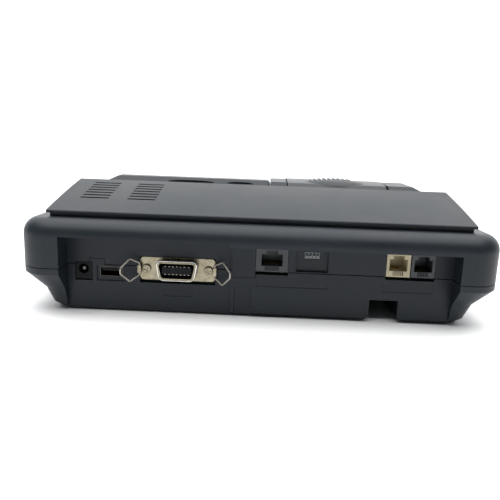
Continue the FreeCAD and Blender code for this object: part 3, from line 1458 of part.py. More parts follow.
def grip_edges(grow):
    """The grip's edges in X and Y, grown by a clearance."""
    return (span("grip_side", f"grip_width + 2 * ({grow})"), span("grip_y", f"grip_length + 2 * ({grow})"))


def cover_grip():
    """The ribbed grip in the cover's dome that is pressed to free the cover, with a flange below."""
    block = box("grip_block", *grip_edges("0"), ("grip_low_z", "grip_z"))
    flange = box("grip_foot", *grip_edges("grip_flange"),
                 ("grip_low_z - grip_flange_height", "grip_low_z"))
    grooves = []
    pitch = "grip_width / grip_rib_count"
    for place in range(1, int(value("grip_rib_count"))):
        middle = f"grip_side - grip_width / 2 + {place} * {pitch}"
        grooves.append(box(f"grip_groove_{place}", span(middle, f"{pitch} / 2"),
                           ("grip_y - grip_length", "grip_y + grip_length"),
                           ("grip_z - grip_rib_height", "grip_z + 1")))
    node("cover_grip", cut("cover_grip", fuse("grip_solid", block, flange), *grooves))


def gear_shape(teeth, module, width, backlash):
    """A spur gear with involute flanks, its axis along X, centred on the origin."""
    pressure = math.radians(PRESSURE_ANGLE)
    pitch = module * teeth / 2
    base = pitch * math.cos(pressure)
    root, tip = pitch - DEDENDUM * module, pitch + ADDENDUM * module
    half_tooth = math.pi / (2 * teeth) - backlash / (2 * pitch)
    involute = math.tan(pressure) - pressure
    inner = max(root, base)

    def flank_angle(radius):
        roll = math.acos(min(1.0, base / radius))
        return half_tooth + involute - (math.tan(roll) - roll)

    radii = [inner + (tip - inner) * step / FLANK_STEPS for step in range(FLANK_STEPS + 1)]
    corners = []
    for tooth in range(teeth):
        middle = 2 * math.pi * tooth / teeth
        foot = flank_angle(radii[0])
        flank = [(root, -foot)] + [(radius, -flank_angle(radius)) for radius in radii[1:]]
        flank += [(radius, -angle) for radius, angle in reversed(flank)]
        corners += [V(0, radius * math.sin(middle + angle), radius * math.cos(middle + angle))
                    for radius, angle in flank]
    face = Part.Face(Part.makePolygon(corners + corners[:1]))
    return face.extrude(V(width, 0, 0))


def gear(name, teeth, middle, turn, bore=None, shaft=None):
    """A gear on the drive side, turned to mesh, bored for a shaft or made in one with its own shaft."""
    width = value("gear_width")
    wheel = gear_shape(teeth, value("gear_module"), width, value("gear_backlash"))
    if bore:
        wheel = wheel.cut(Part.makeCylinder(bore, width, V(), V(1, 0, 0)))
    if shaft:
        wheel = wheel.fuse(Part.makeCylinder(shaft[0], shaft[1], V(), V(-1, 0, 0))).removeSplitter()
    part = doc.addObject("Part::Feature", name)
    part.Shape = wheel
    part.Placement = FreeCAD.Placement(middle, FreeCAD.Rotation(V(1, 0, 0), turn))
    return node(name, part)


def platen_drive():
    """The platen roller with its shaft and gear, the motor and the pinion that drives it."""
    length = "platen_length"
    rubber = rod("rubber_outside", "X", "platen_radius", ("platen_left", "platen_y", "platen_z"), length)
    bore = rod("rubber_bore", "X", "platen_shaft_radius", ("platen_left - 1", "platen_y", "platen_z"),
               f"{length} + 2")
    node("platen_roller", cut("platen_roller", rubber, bore))
    node("platen_shaft", rod("platen_shaft", "X", "platen_shaft_radius",
                             ("gear_left", "platen_y", "platen_z"), "cover_right - gear_left - fit_gap"))
    teeth, pinion_teeth = int(value("gear_teeth")), int(value("pinion_teeth"))
    left, y = value("gear_left"), value("platen_y")
    gear("platen_gear", teeth, V(left, y, value("platen_z")), 0, bore=value("platen_shaft_radius"))
    half_tooth = FULL_TURN / (2 * pinion_teeth)
    facing = 0 if teeth % 2 == 0 else FULL_TURN / (2 * teeth)
    shaft = (value("motor_shaft_radius"), value("gear_left - frame_left + frame_sheet"))
    gear("motor_pinion", pinion_teeth, V(left, y, value("pinion_z")), half_tooth + facing, shaft=shaft)
    start = ("frame_left - frame_sheet - motor_length", "platen_y", "pinion_z")
    node("feed_motor", rod("feed_motor", "X", "motor_radius", start, "motor_length"))


def paper_roll():
    """The roll of thermal paper wound on its core."""
    x, length = "platen_left + (platen_length - roll_width) / 2", "roll_width"
    roll = rod("roll_outside", "X", "roll_radius", (x, "roll_y", "roll_z"), length)
    bore = rod("roll_bore", "X", "roll_bore_radius", (f"{x} - 1", "roll_y", "roll_z"), f"{length} + 2")
    node("paper_roll", cut("paper_roll", roll, bore))


def thermal_head():
    """The thermal head on its pivot, and the two springs that press it to the platen."""
    plate = box("head_plate", ("platen_left", "platen_right"), ("head_front_y", "head_rear_y"),
                ("pivot_z - head_pivot_radius", "pivot_z - head_pivot_radius + head_height"))
    pins = rod("head_pins", "X", "head_pivot_radius", ("frame_left - frame_sheet", "head_mid_y", "pivot_z"),
               "frame_right - frame_left + 2 * frame_sheet")
    node("thermal_head", fuse("thermal_head", plate, pins))
    gap = "head_front_y - frame_front_y - frame_sheet"
    springs = [rod(f"head_spring_{side}".replace("-", "n"), "Y", "spring_radius",
                   (f"cover_side + {side} * spring_side", "frame_front_y + frame_sheet", "spring_z"), gap)
               for side in SIDES]
    node("head_springs", group("head_springs", *springs))


def tear_bar():
    """The toothed strip in front of the paper exit."""
    rear, width = "cover_front_y - tear_length / 2", "(cover_width + 2 * cover_gap)"
    blade = box("tear_blade", span("cover_side", width), (f"{rear} - tear_length", f"{rear} + tear_tooth"),
                ("ledge_z", "ledge_z + tear_sheet"))
    count = int(value(f"{width} / (2 * tear_tooth)"))
    pitch, mouth = f"{width} / {count}", f"{rear} + 2 * tear_tooth"
    gaps = []
    for place in range(count):
        low = f"cover_left - cover_gap + {place} * {pitch}"
        gaps.append(prism(f"tear_gap_{place}", "XY",
                          [(low, mouth), (f"{low} + {pitch} / 2", rear), (f"{low} + {pitch}", mouth)],
                          "ledge_z - 1", "tear_sheet + 2"))
    node("tear_bar", cut("tear_bar", blade, *gaps))


# Keys

def keys():
    """The keys of the deck, each with a flange under the deck, and the rubber sheet and board below."""
    for name, (middle, along, width) in key_spots().items():
        cap = doc.addObject("PartDesign::Body", name + "_cap")
        sketch = plane_sketch(cap, name + "_outline", "XY", "0")
        x, y = f"{width} / 2", "key_length / 2"
        draw(sketch, [(f"-{x}", f"-{y}"), (x, f"-{y}"), (x, y), (f"-{x}", y)])
        pad = cap.newObject("PartDesign::Pad", name + "_pad")
        pad.Profile = sketch
        bind(pad, "Length", "key_proud + case_wall + fit_gap")
        top = value("key_proud + case_wall + fit_gap")
        round_edges(cap, "key_edge_radius", lambda edge: edge.BoundBox.ZMin > top - 0.01 or upright(edge))
        cap.Placement = deck_place(middle, along, "-case_wall - fit_gap")
        flange = deck_box(name + "_flange", span(middle, f"{width} + 2 * key_flange"),
                          span(along, "key_length + 2 * key_flange"),
                          ("-key_floor", "-case_wall - fit_gap"))
        node(name, fuse(name, cap, flange))
    across = ("pad_left - sheet_margin", "pad_right + sheet_margin")
    down = ("pad_start - key_flange", "pad_end + key_flange")
    node("key_sheet", deck_box("key_sheet", across, down, ("-sheet_bottom", "-sheet_top")))
    edges = main_board_edges()
    blank = deck_box("main_board_blank", *edges, ("-sheet_bottom - board_thickness", "-sheet_bottom"))
    holes = [deck_rod(f"main_board_hole_{place}", "board_screw_radius + thread_gap", x, along,
                      ("-sheet_bottom - 2 * board_thickness", "-sheet_bottom + 1"))
             for place, (x, along) in enumerate(main_board_spots())]
    node("main_board", cut("main_board", blank, *holes))


def check_and_write():
    """Stops on any failed object or bad shape, then writes each sub-part to its own file."""
    doc.recompute()
    failed = [thing.Name for thing in doc.Objects if {"Invalid", "Error"} & set(thing.State)]
    bad = [label for label, thing in nodes.items() if thing.Shape.isNull() or not thing.Shape.isValid()]
    if failed or bad:
        raise SystemExit(f"failed objects {failed}, bad shapes {bad}")
    os.makedirs("parts", exist_ok=True)
    for label, thing in nodes.items():
        thing.Shape.exportStep(f"parts/{label}.step")
        print(f"{label}: {len(thing.Shape.Solids)} solids, {thing.Shape.Volume:.1f} mm3")


def main():
    fill_sheet()
    windows = port_windows()
    lower_case(windows)
    upper_case(windows)
    rear_hood()
    feet()
    fasteners()
    rear_boards()
    power_inlet()
    usb_port()
    ribbon_port()
    bails()
    line_jacks()
    setting_switches()
    speaker()
    printer_housing()
    display()
    printer_frame()
    printer_cover()
    cover_grip()
    platen_drive()
    paper_roll()
    thermal_head()
    tear_bar()
    keys()
    check_and_write()


main()
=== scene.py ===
"""Looks of the desk terminal: finishes for its CAD pieces, small parts modelled by hand, and the studio."""
import logging
import math
from dataclasses import dataclass
from enum import Enum

import bpy
from mathutils import Matrix, Vector


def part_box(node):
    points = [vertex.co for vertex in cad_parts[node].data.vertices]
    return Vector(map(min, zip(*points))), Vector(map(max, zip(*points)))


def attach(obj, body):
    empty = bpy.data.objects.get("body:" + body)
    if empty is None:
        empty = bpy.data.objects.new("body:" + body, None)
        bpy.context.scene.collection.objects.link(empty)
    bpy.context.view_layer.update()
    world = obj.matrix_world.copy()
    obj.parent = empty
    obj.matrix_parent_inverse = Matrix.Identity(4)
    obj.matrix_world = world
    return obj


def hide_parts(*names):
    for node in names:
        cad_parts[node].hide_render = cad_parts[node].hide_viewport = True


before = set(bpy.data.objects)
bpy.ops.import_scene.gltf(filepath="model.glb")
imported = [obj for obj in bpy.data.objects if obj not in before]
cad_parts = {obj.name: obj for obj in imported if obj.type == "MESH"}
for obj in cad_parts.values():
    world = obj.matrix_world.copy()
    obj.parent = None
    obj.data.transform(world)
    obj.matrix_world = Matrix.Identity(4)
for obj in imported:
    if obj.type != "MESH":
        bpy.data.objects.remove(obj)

log = logging.getLogger("desk_terminal")
MM = 0.001
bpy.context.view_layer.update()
# The cosines between which a softened edge counts as flat and as fully turned.
FLAT_EDGE, TURNED_EDGE = 0.99, 0.8
# The part of a noise texture's values that is stretched over a finish's two tones.
PATCH_LOW, PATCH_HIGH = 0.3, 0.7
# Faces that meet at less than this angle are shaded as one.
SMOOTH_ANGLE = math.radians(35)
# The colour sockets of a Mix node, which share their names with its other kinds of socket.
MIX_A, MIX_B, MIX_RESULT = 6, 7, 2


def linear(colour: str) -> tuple[float, float, float, float]:
    """Turns an sRGB hex colour into linear light.

    Args:
        colour: six hex digits after a hash sign.
    Returns:
        Red, green, blue and an alpha of one.
    """
    parts = [int(colour[place:place + 2], 16) / 255 for place in (1, 3, 5)]
    light = [part / 12.92 if part <= 0.04045 else ((part + 0.055) / 1.055) ** 2.4 for part in parts]
    return light[0], light[1], light[2], 1.0


def per_metre(size_mm: float) -> float:
    """The texture scale whose pattern repeats at a size in millimetres."""
    return 1 / (size_mm * MM)


def add_node(
    tree: bpy.types.NodeTree,
    kind: str,
    values: dict | None = None,
    links: dict | None = None,
    **settings: object,
) -> bpy.types.Node:
    """Adds a node with its settings and links.

    Args:
        tree: the node tree that takes the node.
        kind: the node's type name.
        values: constants by input name.
        links: sockets that feed the inputs, by input name.
        settings: the node's own properties.
    Returns:
        The new node.
    """
    node = tree.nodes.new(kind)
    for name, setting in settings.items():
        setattr(node, name, setting)
    for name, value in (values or {}).items():
        node.inputs[name].default_value = value
    for name, source in (links or {}).items():
        tree.links.new(source, node.inputs[name])
    return node


class KeyMark(Enum):
    """The mark on each dial key, in the order of the deck from left to right and from the display down."""

    KEY_1 = "1"
    KEY_2 = "2"
    KEY_3 = "3"
    KEY_4 = "4"
    KEY_5 = "5"
    KEY_6 = "6"
    KEY_7 = "7"
    KEY_8 = "8"
    KEY_9 = "9"
    KEY_STAR = "*"
    KEY_0 = "0"
    KEY_HASH = "#"

    @property
    def node(self) -> str:
        """The CAD node, and body, of the marked key."""
        return self.name.lower()


@dataclass(frozen=True)
class Finish:
    """A surface finish: what the real material is, with colour, gloss and grain at real sizes.

    The colour wanders between two tones in patches, roughness follows the patches, and the grain is a bump.
    Turned edges can take a painted highlight.
    """

    name: str
    colour: str
    tone: str
    roughness: float
    roughness_swing: float = 0.05
    grain_mm: float = 0.6
    grain_height_mm: float = 0.012
    grain_strength: float = 0.5
    patch_mm: float = 45.0
    metallic: float = 0.0
    ior: float = 1.5
    stretch: tuple[float, float, float] = (1.0, 1.0, 1.0)
    transmission: float = 0.0
    specular: float = 0.5
    edge_mm: float = 0.3
    # The share of the tone added on turned edges as a painted highlight.
    edge_highlight_lift: float = 0.0

    def material(self) -> bpy.types.Material:
        """The finish's material, made once and then shared."""
        known = bpy.data.materials.get(self.name)
        return known if known else self.build()

    def build(self) -> bpy.types.Material:
        """Makes the material with its nodes.

        Returns:
            A new material named for the finish.
        """
        material = bpy.data.materials.new(self.name)
        material.use_nodes = True
        tree = material.node_tree
        shader = tree.nodes["Principled BSDF"]
        place = add_node(tree, "ShaderNodeTexCoord").outputs["Object"]
        turned = add_node(tree, "ShaderNodeMapping", {"Scale": self.stretch}, {"Vector": place})
        grain = add_node(tree, "ShaderNodeTexNoise",
                         {"Scale": per_metre(self.grain_mm), "Detail": 3.0, "Roughness": 0.6},
                         {"Vector": turned.outputs["Vector"]})
        patch = add_node(tree, "ShaderNodeTexNoise",
                         {"Scale": per_metre(self.patch_mm), "Detail": 4.0, "Roughness": 0.65},
                         {"Vector": place})
        soft = add_node(tree, "ShaderNodeBevel", {"Radius": self.edge_mm * MM}, samples=4)
        ramp = add_node(tree, "ShaderNodeValToRGB", None, {"Fac": patch.outputs["Fac"]})
        for element, position, colour in zip(ramp.color_ramp.elements, (PATCH_LOW, PATCH_HIGH),
                                             (self.colour, self.tone)):
            element.position = position
            element.color = linear(colour)
        rough = add_node(tree, "ShaderNodeMapRange",
                         {"From Min": PATCH_LOW, "From Max": PATCH_HIGH,
                          "To Min": self.roughness - self.roughness_swing,
                          "To Max": self.roughness + self.roughness_swing},
                         {"Value": patch.outputs["Fac"]})
        bump = add_node(tree, "ShaderNodeBump",
                        {"Strength": self.grain_strength, "Distance": self.grain_height_mm * MM},
                        {"Height": grain.outputs["Fac"], "Normal": soft.outputs["Normal"]})
        tree.links.new(self.painted_edge_highlight(tree, ramp.outputs["Color"], soft), shader.inputs["Base Color"])
        tree.links.new(rough.outputs["Result"], shader.inputs["Roughness"])
        tree.links.new(bump.outputs["Normal"], shader.inputs["Normal"])
        shader.inputs["Metallic"].default_value = self.metallic
        shader.inputs["IOR"].default_value = self.ior
        shader.inputs["Transmission Weight"].default_value = self.transmission
        shader.inputs["Specular IOR Level"].default_value = self.specular
        return material

    def painted_edge_highlight(self, tree: bpy.types.NodeTree, colour: bpy.types.NodeSocket,
             soft: bpy.types.Node) -> bpy.types.NodeSocket:
        """Lightens the colour where an edge turns: a painted highlight along the turned edges.

        Args:
            tree: the material's node tree.
            colour: the colour of the flat surface.
            soft: the node that gives the rounded normal.
        Returns:
            The colour with its painted edge highlight.
        """
        if not self.edge_highlight_lift:
            return colour
        flat = add_node(tree, "ShaderNodeNewGeometry")
        turn = add_node(tree, "ShaderNodeVectorMath", operation="DOT_PRODUCT")
        tree.links.new(soft.outputs["Normal"], turn.inputs[0])
        tree.links.new(flat.outputs["True Normal"], turn.inputs[1])
        # Painted highlight: the tone is added where the softened normal turns away from the true one.
        edge = add_node(tree, "ShaderNodeMapRange",
                        {"From Min": FLAT_EDGE, "From Max": TURNED_EDGE,
                         "To Min": 0.0, "To Max": self.edge_highlight_lift},
                        {"Value": turn.outputs["Value"]})
        mix = add_node(tree, "ShaderNodeMix", data_type="RGBA", blend_type="ADD")
        tree.links.new(edge.outputs["Result"], mix.inputs["Factor"])
        tree.links.new(colour, mix.inputs[MIX_A])
        mix.inputs[MIX_B].default_value = linear(self.tone)
        return mix.outputs[MIX_RESULT]


# Moulded slate ABS, spark-eroded: a dark blue grey with a soft satin sheen and a fine even grain, with a
# painted highlight on its turned edges.
SLATE_ABS = Finish("slate_abs_moulded", "#141a20", "#181f26", 0.45, 0.04, 0.7, 0.02, 0.35, 60.0,
                   specular=0.3, edge_highlight_lift=0.6)
# The same ABS on the roll cover, a shade lighter as painted light for its lit top, a little glossier, and
# with a painted highlight on its turned edges.
COVER_ABS = Finish("slate_abs_cover", "#1a1e22", "#20252a", 0.42, 0.05, 0.7, 0.02, 0.3, 40.0,
                   specular=0.35, edge_highlight_lift=0.6)
# Black polyester of the sockets: nearly matt, it swallows the light inside the ports.
BLACK_PBT = Finish("black_pbt_moulded", "#0b0c0f", "#101114", 0.6, 0.05, 0.5, 0.01, 0.4, 12.0, specular=0.2)
# Grey polyester of the modular jacks, cool and a little glossy.
GREY_PBT = Finish("grey_pbt_jack", "#2b2e31", "#36393c", 0.45, 0.05, 0.5, 0.008, 0.3, 10.0)
# Cream nylon of the line jack, warm and slightly translucent to the eye.
CREAM_NYLON = Finish("cream_nylon_jack", "#a89d7e", "#bcb294", 0.38, 0.05, 0.5, 0.008, 0.3, 9.0)
# Light grey thermoplastic of the switch block.
SWITCH_GREY = Finish("grey_switch_body", "#565b60", "#62676c", 0.45, 0.05, 0.4, 0.006, 0.3, 6.0)
# White acetal of sliders and gears, waxy.
ACETAL = Finish("white_acetal", "#d4d2c8", "#dedcd4", 0.35, 0.05, 0.5, 0.006, 0.3, 8.0)
# Tin plate on the stamped flange: bright, warm, with faint handling marks.
TIN_PLATE = Finish("tin_plate_stamped", "#6f6855", "#a39c88", 0.3, 0.1, 0.35, 0.02, 0.5, 4.0, 1.0,
                   stretch=(1.0, 1.0, 0.25))
# Nickel on spring wire, pins and shells: neutral and bright.
NICKEL = Finish("nickel_plate", "#c3c1bb", "#d6d4ce", 0.22, 0.06, 0.3, 0.005, 0.3, 4.0, 1.0)
# Bare spring wire of the bails, a soft warm grey.
SPRING_WIRE = Finish("spring_wire", "#8f8b83", "#a5a199", 0.35, 0.06, 0.3, 0.005, 0.3, 4.0, 1.0)
# Nickel on the small port's shell, dulled by handling.
DULL_NICKEL = Finish("dull_nickel_shell", "#54534f", "#66645f", 0.42, 0.08, 0.4, 0.01, 0.4, 4.0, 1.0)
# Grey acetal of the switch sliders.
GREY_ACETAL = Finish("grey_acetal_slider", "#7f807c", "#8c8d88", 0.42, 0.05, 0.5, 0.006, 0.3, 6.0)
# Gold flash on contacts.
GOLD = Finish("gold_flash", "#c9a24a", "#dcb964", 0.25, 0.05, 0.3, 0.004, 0.3, 3.0, 1.0)
# Zinc plate on screws and the printer frame, softly mottled.
ZINC = Finish("zinc_plate", "#a9acad", "#bcbebd", 0.36, 0.08, 0.8, 0.01, 0.3, 9.0, 1.0)
# Drawn steel of the motor can, with fine rings along its length.
DRAWN_STEEL = Finish("drawn_steel", "#8b8c8c", "#9c9d9c", 0.33, 0.06, 0.4, 0.01, 0.4, 9.0, 1.0,
                     stretch=(0.1, 1.0, 1.0))
# Green epoxy laminate under solder mask.
LAMINATE = Finish("green_epoxy_laminate", "#16402a", "#1c4a31", 0.34, 0.06, 0.8, 0.02, 0.3, 14.0)
# Black foot rubber, matt and dusty.
RUBBER = Finish("black_rubber", "#151515", "#1f1f1e", 0.82, 0.06, 0.6, 0.03, 0.6, 7.0)
# Ground platen rubber, even and matt.
PLATEN_RUBBER = Finish("ground_platen_rubber", "#242527", "#2b2c2e", 0.7, 0.05, 0.3, 0.02, 0.5, 10.0)
# Silicone key sheet.
SILICONE = Finish("grey_silicone", "#5f6265", "#6a6d70", 0.6, 0.05, 0.6, 0.02, 0.4, 9.0)
# Thermal paper wound on a roll: white, its ends faintly ringed.
PAPER = Finish("thermal_paper", "#ecebe6", "#f3f2ee", 0.55, 0.05, 0.25, 0.01, 0.4, 20.0)
# Glazed ceramic of the thermal head, dark and glossy.
GLAZE = Finish("glazed_ceramic", "#2e2a28", "#3a3532", 0.2, 0.05, 0.8, 0.004, 0.2, 9.0)
# Liquid crystal glass, a still grey green.
CRYSTAL = Finish("liquid_crystal_glass", "#7d8672", "#87907b", 0.15, 0.03, 0.8, 0.002, 0.1, 20.0)
# Clear acrylic window.
ACRYLIC = Finish("clear_acrylic", "#eef0f0", "#f5f6f6", 0.06, 0.02, 0.8, 0.001, 0.05, 30.0, ior=1.49,
                 transmission=0.95)
# Satin grey ABS of the dial keys.
KEY_ABS = Finish("pale_grey_key_abs", "#85888a", "#8f9294", 0.4, 0.05, 0.5, 0.012, 0.4, 9.0)
# Satin red and green ABS of the stop and start keys.
STOP_ABS = Finish("red_key_abs", "#9c2f28", "#a83a31", 0.4, 0.05, 0.5, 0.012, 0.4, 9.0)
START_ABS = Finish("green_key_abs", "#2f7d4b", "#398a56", 0.4, 0.05, 0.5, 0.012, 0.4, 9.0)
# Dark ink of the key numbers, pad printed.
INK = Finish("pad_print_ink", "#1d1f22", "#222427", 0.5, 0.05, 0.3, 0.002, 0.2, 4.0)


def paint(piece: bpy.types.Object, finish: Finish) -> None:
    """Gives a whole piece one finish.

    Args:
        piece: a CAD node or a modelled piece.
        finish: the finish that it takes.
    """
    if not piece.material_slots:
        piece.data.materials.append(finish.material())
        return
    for holder in piece.material_slots:
        holder.material = finish.material()


def deselect() -> None:
    """Leaves nothing selected, so that an operator acts only on what is added next."""
    bpy.ops.object.select_all(action="DESELECT")


def added(name: str) -> bpy.types.Object:
    """Names the object that the last operator added and returns it."""
    piece = bpy.context.active_object
    piece.name = name
    piece.data.name = name
    return piece


def settle(piece: bpy.types.Object) -> None:
    """Moves a piece's place, turn and scale into its mesh."""
    deselect()
    piece.select_set(True)
    bpy.context.view_layer.objects.active = piece
    bpy.ops.object.transform_apply(location=True, rotation=True, scale=True)


def apply_modifier(piece: bpy.types.Object, kind: str, **settings: object) -> None:
    """Adds a modifier with its settings and applies it.

    Args:
        piece: the object to change.
        kind: the modifier's type.
        settings: the modifier's properties.
    """
    bpy.context.view_layer.objects.active = piece
    modifier = piece.modifiers.new(kind.lower(), kind)
    for name, setting in settings.items():
        setattr(modifier, name, setting)
    bpy.ops.object.modifier_apply(modifier=modifier.name)


def copied(piece: bpy.types.Object) -> bpy.types.Object:
    """A copy of a piece with a mesh of its own.

    Args:
        piece: the piece to copy.
    Returns:
        The copy.
    """
    deselect()
    piece.select_set(True)
    bpy.context.view_layer.objects.active = piece
    bpy.ops.object.duplicate(linked=False)
    return bpy.context.active_object


@dataclass
class Assembly:
    """A sub-assembly: the finishes of its CAD nodes, and the pieces that it adds."""

    def finishes(self) -> dict[str, Finish]:
        """The finish of each CAD node of this sub-assembly."""
        return {}

    def model(self) -> list[bpy.types.Object]:
        """Builds the pieces that this sub-assembly adds."""
        return []

    def build(self) -> None:
        """Dresses the CAD nodes, builds the added pieces and logs that the sub-assembly is dressed."""
        for node, finish in self.finishes().items():
            paint(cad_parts[node], finish)
        for piece in self.model():
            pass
        log.info("%s dressed", type(self).__name__)


@dataclass
class CaseShells(Assembly):
    """The upper and lower case, the rear hood, the feet and the case screws."""

    def finishes(self) -> dict[str, Finish]:
        """Slate shells on rubber feet."""
        return {"upper_case": SLATE_ABS, "lower_case": SLATE_ABS, "rear_hood": SLATE_ABS,
                "rubber_feet": RUBBER, "case_screws": ZINC}


@dataclass
class Boards(Assembly):
    """The boards behind the ports and under the keys, with their screws, and the speaker."""

    def finishes(self) -> dict[str, Finish]:
        """Green laminate and zinc screws."""
        return {"power_board": LAMINATE, "line_board": LAMINATE, "main_board": LAMINATE,
                "board_screws": ZINC, "speaker": BLACK_PBT}


@dataclass
class PowerSide(Assembly):
    """The power inlet, the USB-size port and the ribbon port with its bails."""

    head_mm: float = 1.2
    head_round_mm: float = 0.45
    shank_inset: float = 0.42
    shank_mm: float = 1.2
    cross_span: float = 0.62
    cross_width_mm: float = 0.75
    cross_depth_mm: float = 0.7
    cross_turn: float = 18.0
    lip_path_mm: tuple[float, float, float] = (19.1, 22.7, 10.8)
    lip_round_mm: float = 2.6
    lip_mm: float = 0.5

    def finishes(self) -> dict[str, Finish]:
        """Black sockets, a tin flange and bright wire."""
        return {"power_inlet": BLACK_PBT, "power_inlet_pin": DULL_NICKEL, "usb_shell": DULL_NICKEL,
                "usb_tongue": BLACK_PBT, "ribbon_flange": TIN_PLATE, "ribbon_insulator": BLACK_PBT,
                "ribbon_contacts": NICKEL, "flange_screws": TIN_PLATE, "left_bail": SPRING_WIRE,
                "right_bail": SPRING_WIRE}

    def model(self) -> list[bpy.types.Object]:
        """The flange screws and the rolled lip of the ribbon port's shell."""
        return [self.screws(), self.shell_lip()]

    def shell_lip(self) -> bpy.types.Object:
        """The rolled lip along the mouth of the keyed shell.

        Returns:
            A bright bead that follows the shell's rounded outline.
        """
        low, high = (Vector(corner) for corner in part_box("ribbon_flange"))
        bottom, top, height = (size * MM for size in self.lip_path_mm)
        deselect()
        bpy.ops.mesh.primitive_plane_add(size=1)
        lip = added("shell_lip")
        for corner in lip.data.vertices:
            width = top if corner.co.y > 0 else bottom
            corner.co = (math.copysign(width / 2, corner.co.x), math.copysign(height / 2, corner.co.y), 0)
        bpy.ops.object.mode_set(mode="EDIT")
        bpy.ops.mesh.select_all(action="SELECT")
        bpy.ops.mesh.bevel(offset=self.lip_round_mm * MM, segments=6, affect="VERTICES")
        bpy.ops.mesh.select_all(action="SELECT")
        bpy.ops.mesh.delete(type="ONLY_FACE")
        bpy.ops.object.mode_set(mode="OBJECT")
        bpy.ops.object.convert(target="CURVE")
        lip = bpy.context.active_object
        lip.data.bevel_depth = self.lip_mm * MM
        lip.data.bevel_resolution = 3
        bpy.ops.object.convert(target="MESH")
        lip = added("shell_lip")
        lip.rotation_euler = (math.radians(90), 0, 0)
        lip.location = ((low.x + high.x) / 2, high.y - self.lip_mm * MM, (low.z + high.z) / 2)
        settle(lip)
        bpy.ops.object.shade_smooth()
        paint(lip, NICKEL)
        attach(lip, "chassis")
        return lip

    def screws(self) -> bpy.types.Object:
        """Two screws with a rounded head and a cross recess, in place of the plain ones.

        Returns:
            Both screws as one piece.
        """
        low, high = (Vector(corner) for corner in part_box("flange_screws"))
        head = self.screw_head((high.z - low.z) / 2)
        other = copied(head)
        radius, middle = (high.z - low.z) / 2, (high.z + low.z) / 2
        head.location = (low.x + radius, high.y, middle)
        other.location = (high.x - radius, high.y, middle)
        deselect()
        for piece in (head, other):
            settle(piece)
        head.select_set(True)
        other.select_set(True)
        bpy.context.view_layer.objects.active = head
        bpy.ops.object.join()
        paint(head, TIN_PLATE)
        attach(head, "chassis")
        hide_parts("flange_screws")
        return head

    def screw_head(self, radius: float) -> bpy.types.Object:
        """A cross-recessed screw head at the origin, its face towards +Y.

        Args:
            radius: the head's radius in metres.
        Returns:
            The head with its shank.
        """
        deselect()
        bpy.ops.mesh.primitive_cylinder_add(vertices=40, radius=radius, depth=self.head_mm * MM)
        head = added("cross_head_screws")
        bpy.ops.object.mode_set(mode="EDIT")
        bpy.ops.mesh.select_all(action="DESELECT")
        bpy.ops.object.mode_set(mode="OBJECT")
        for face in head.data.polygons:
            face.select = face.normal.z > 0.9
        bpy.ops.object.mode_set(mode="EDIT")
        bpy.ops.mesh.bevel(offset=self.head_round_mm * MM, segments=4, affect="EDGES")
        bpy.ops.mesh.select_all(action="DESELECT")
        bpy.ops.object.mode_set(mode="OBJECT")
        for face in head.data.polygons:
            face.select = face.normal.z < -0.9
        bpy.ops.object.mode_set(mode="EDIT")
        bpy.ops.mesh.inset(thickness=radius * self.shank_inset, depth=0)
        bpy.ops.mesh.extrude_region_move(
            TRANSFORM_OT_translate={"value": (0, 0, -self.shank_mm * MM)})
        bpy.ops.object.mode_set(mode="OBJECT")
        cross = self.cross(radius)
        apply_modifier(head, "BOOLEAN", object=cross, operation="DIFFERENCE", solver="EXACT")
        bpy.data.objects.remove(cross, do_unlink=True)
        head.location = (0, 0, -self.head_mm * MM / 2)
        settle(head)
        head.rotation_euler = (math.radians(-90), math.radians(self.cross_turn), 0)
        settle(head)
        bpy.ops.object.shade_smooth_by_angle(angle=SMOOTH_ANGLE)
        return head

    def cross(self, radius: float) -> bpy.types.Object:
        """The cutter of the cross recess.

        Args:
            radius: the head's radius in metres.
        Returns:
            A cross of two bars, to be removed after the cut.
        """
        bars = []
        for turn in (0, 90):
            deselect()
            bpy.ops.mesh.primitive_cube_add(size=1, location=(0, 0, self.head_mm * MM / 2))
            bar = added("cross_bar")
            bar.scale = (radius * 2 * self.cross_span, self.cross_width_mm * MM,
                         self.cross_depth_mm * 2 * MM)
            bar.rotation_euler = (0, 0, math.radians(turn))
            settle(bar)
            bars.append(bar)
        apply_modifier(bars[0], "BOOLEAN", object=bars[1], operation="UNION", solver="EXACT")
        bpy.data.objects.remove(bars[1], do_unlink=True)
        return bars[0]


@dataclass
class LineSide(Assembly):
    """The modular jacks and the setting switches."""

    def finishes(self) -> dict[str, Finish]:
        """A cream line jack between grey ones, and pale switches."""
        return {"network_jack": GREY_PBT, "phone_jack": GREY_PBT, "line_jack": CREAM_NYLON,
                "jack_contacts": GOLD, "setting_switch_block": SWITCH_GREY,
                **{f"setting_slider_{place}": GREY_ACETAL for place in (1, 2, 3, 4)}}


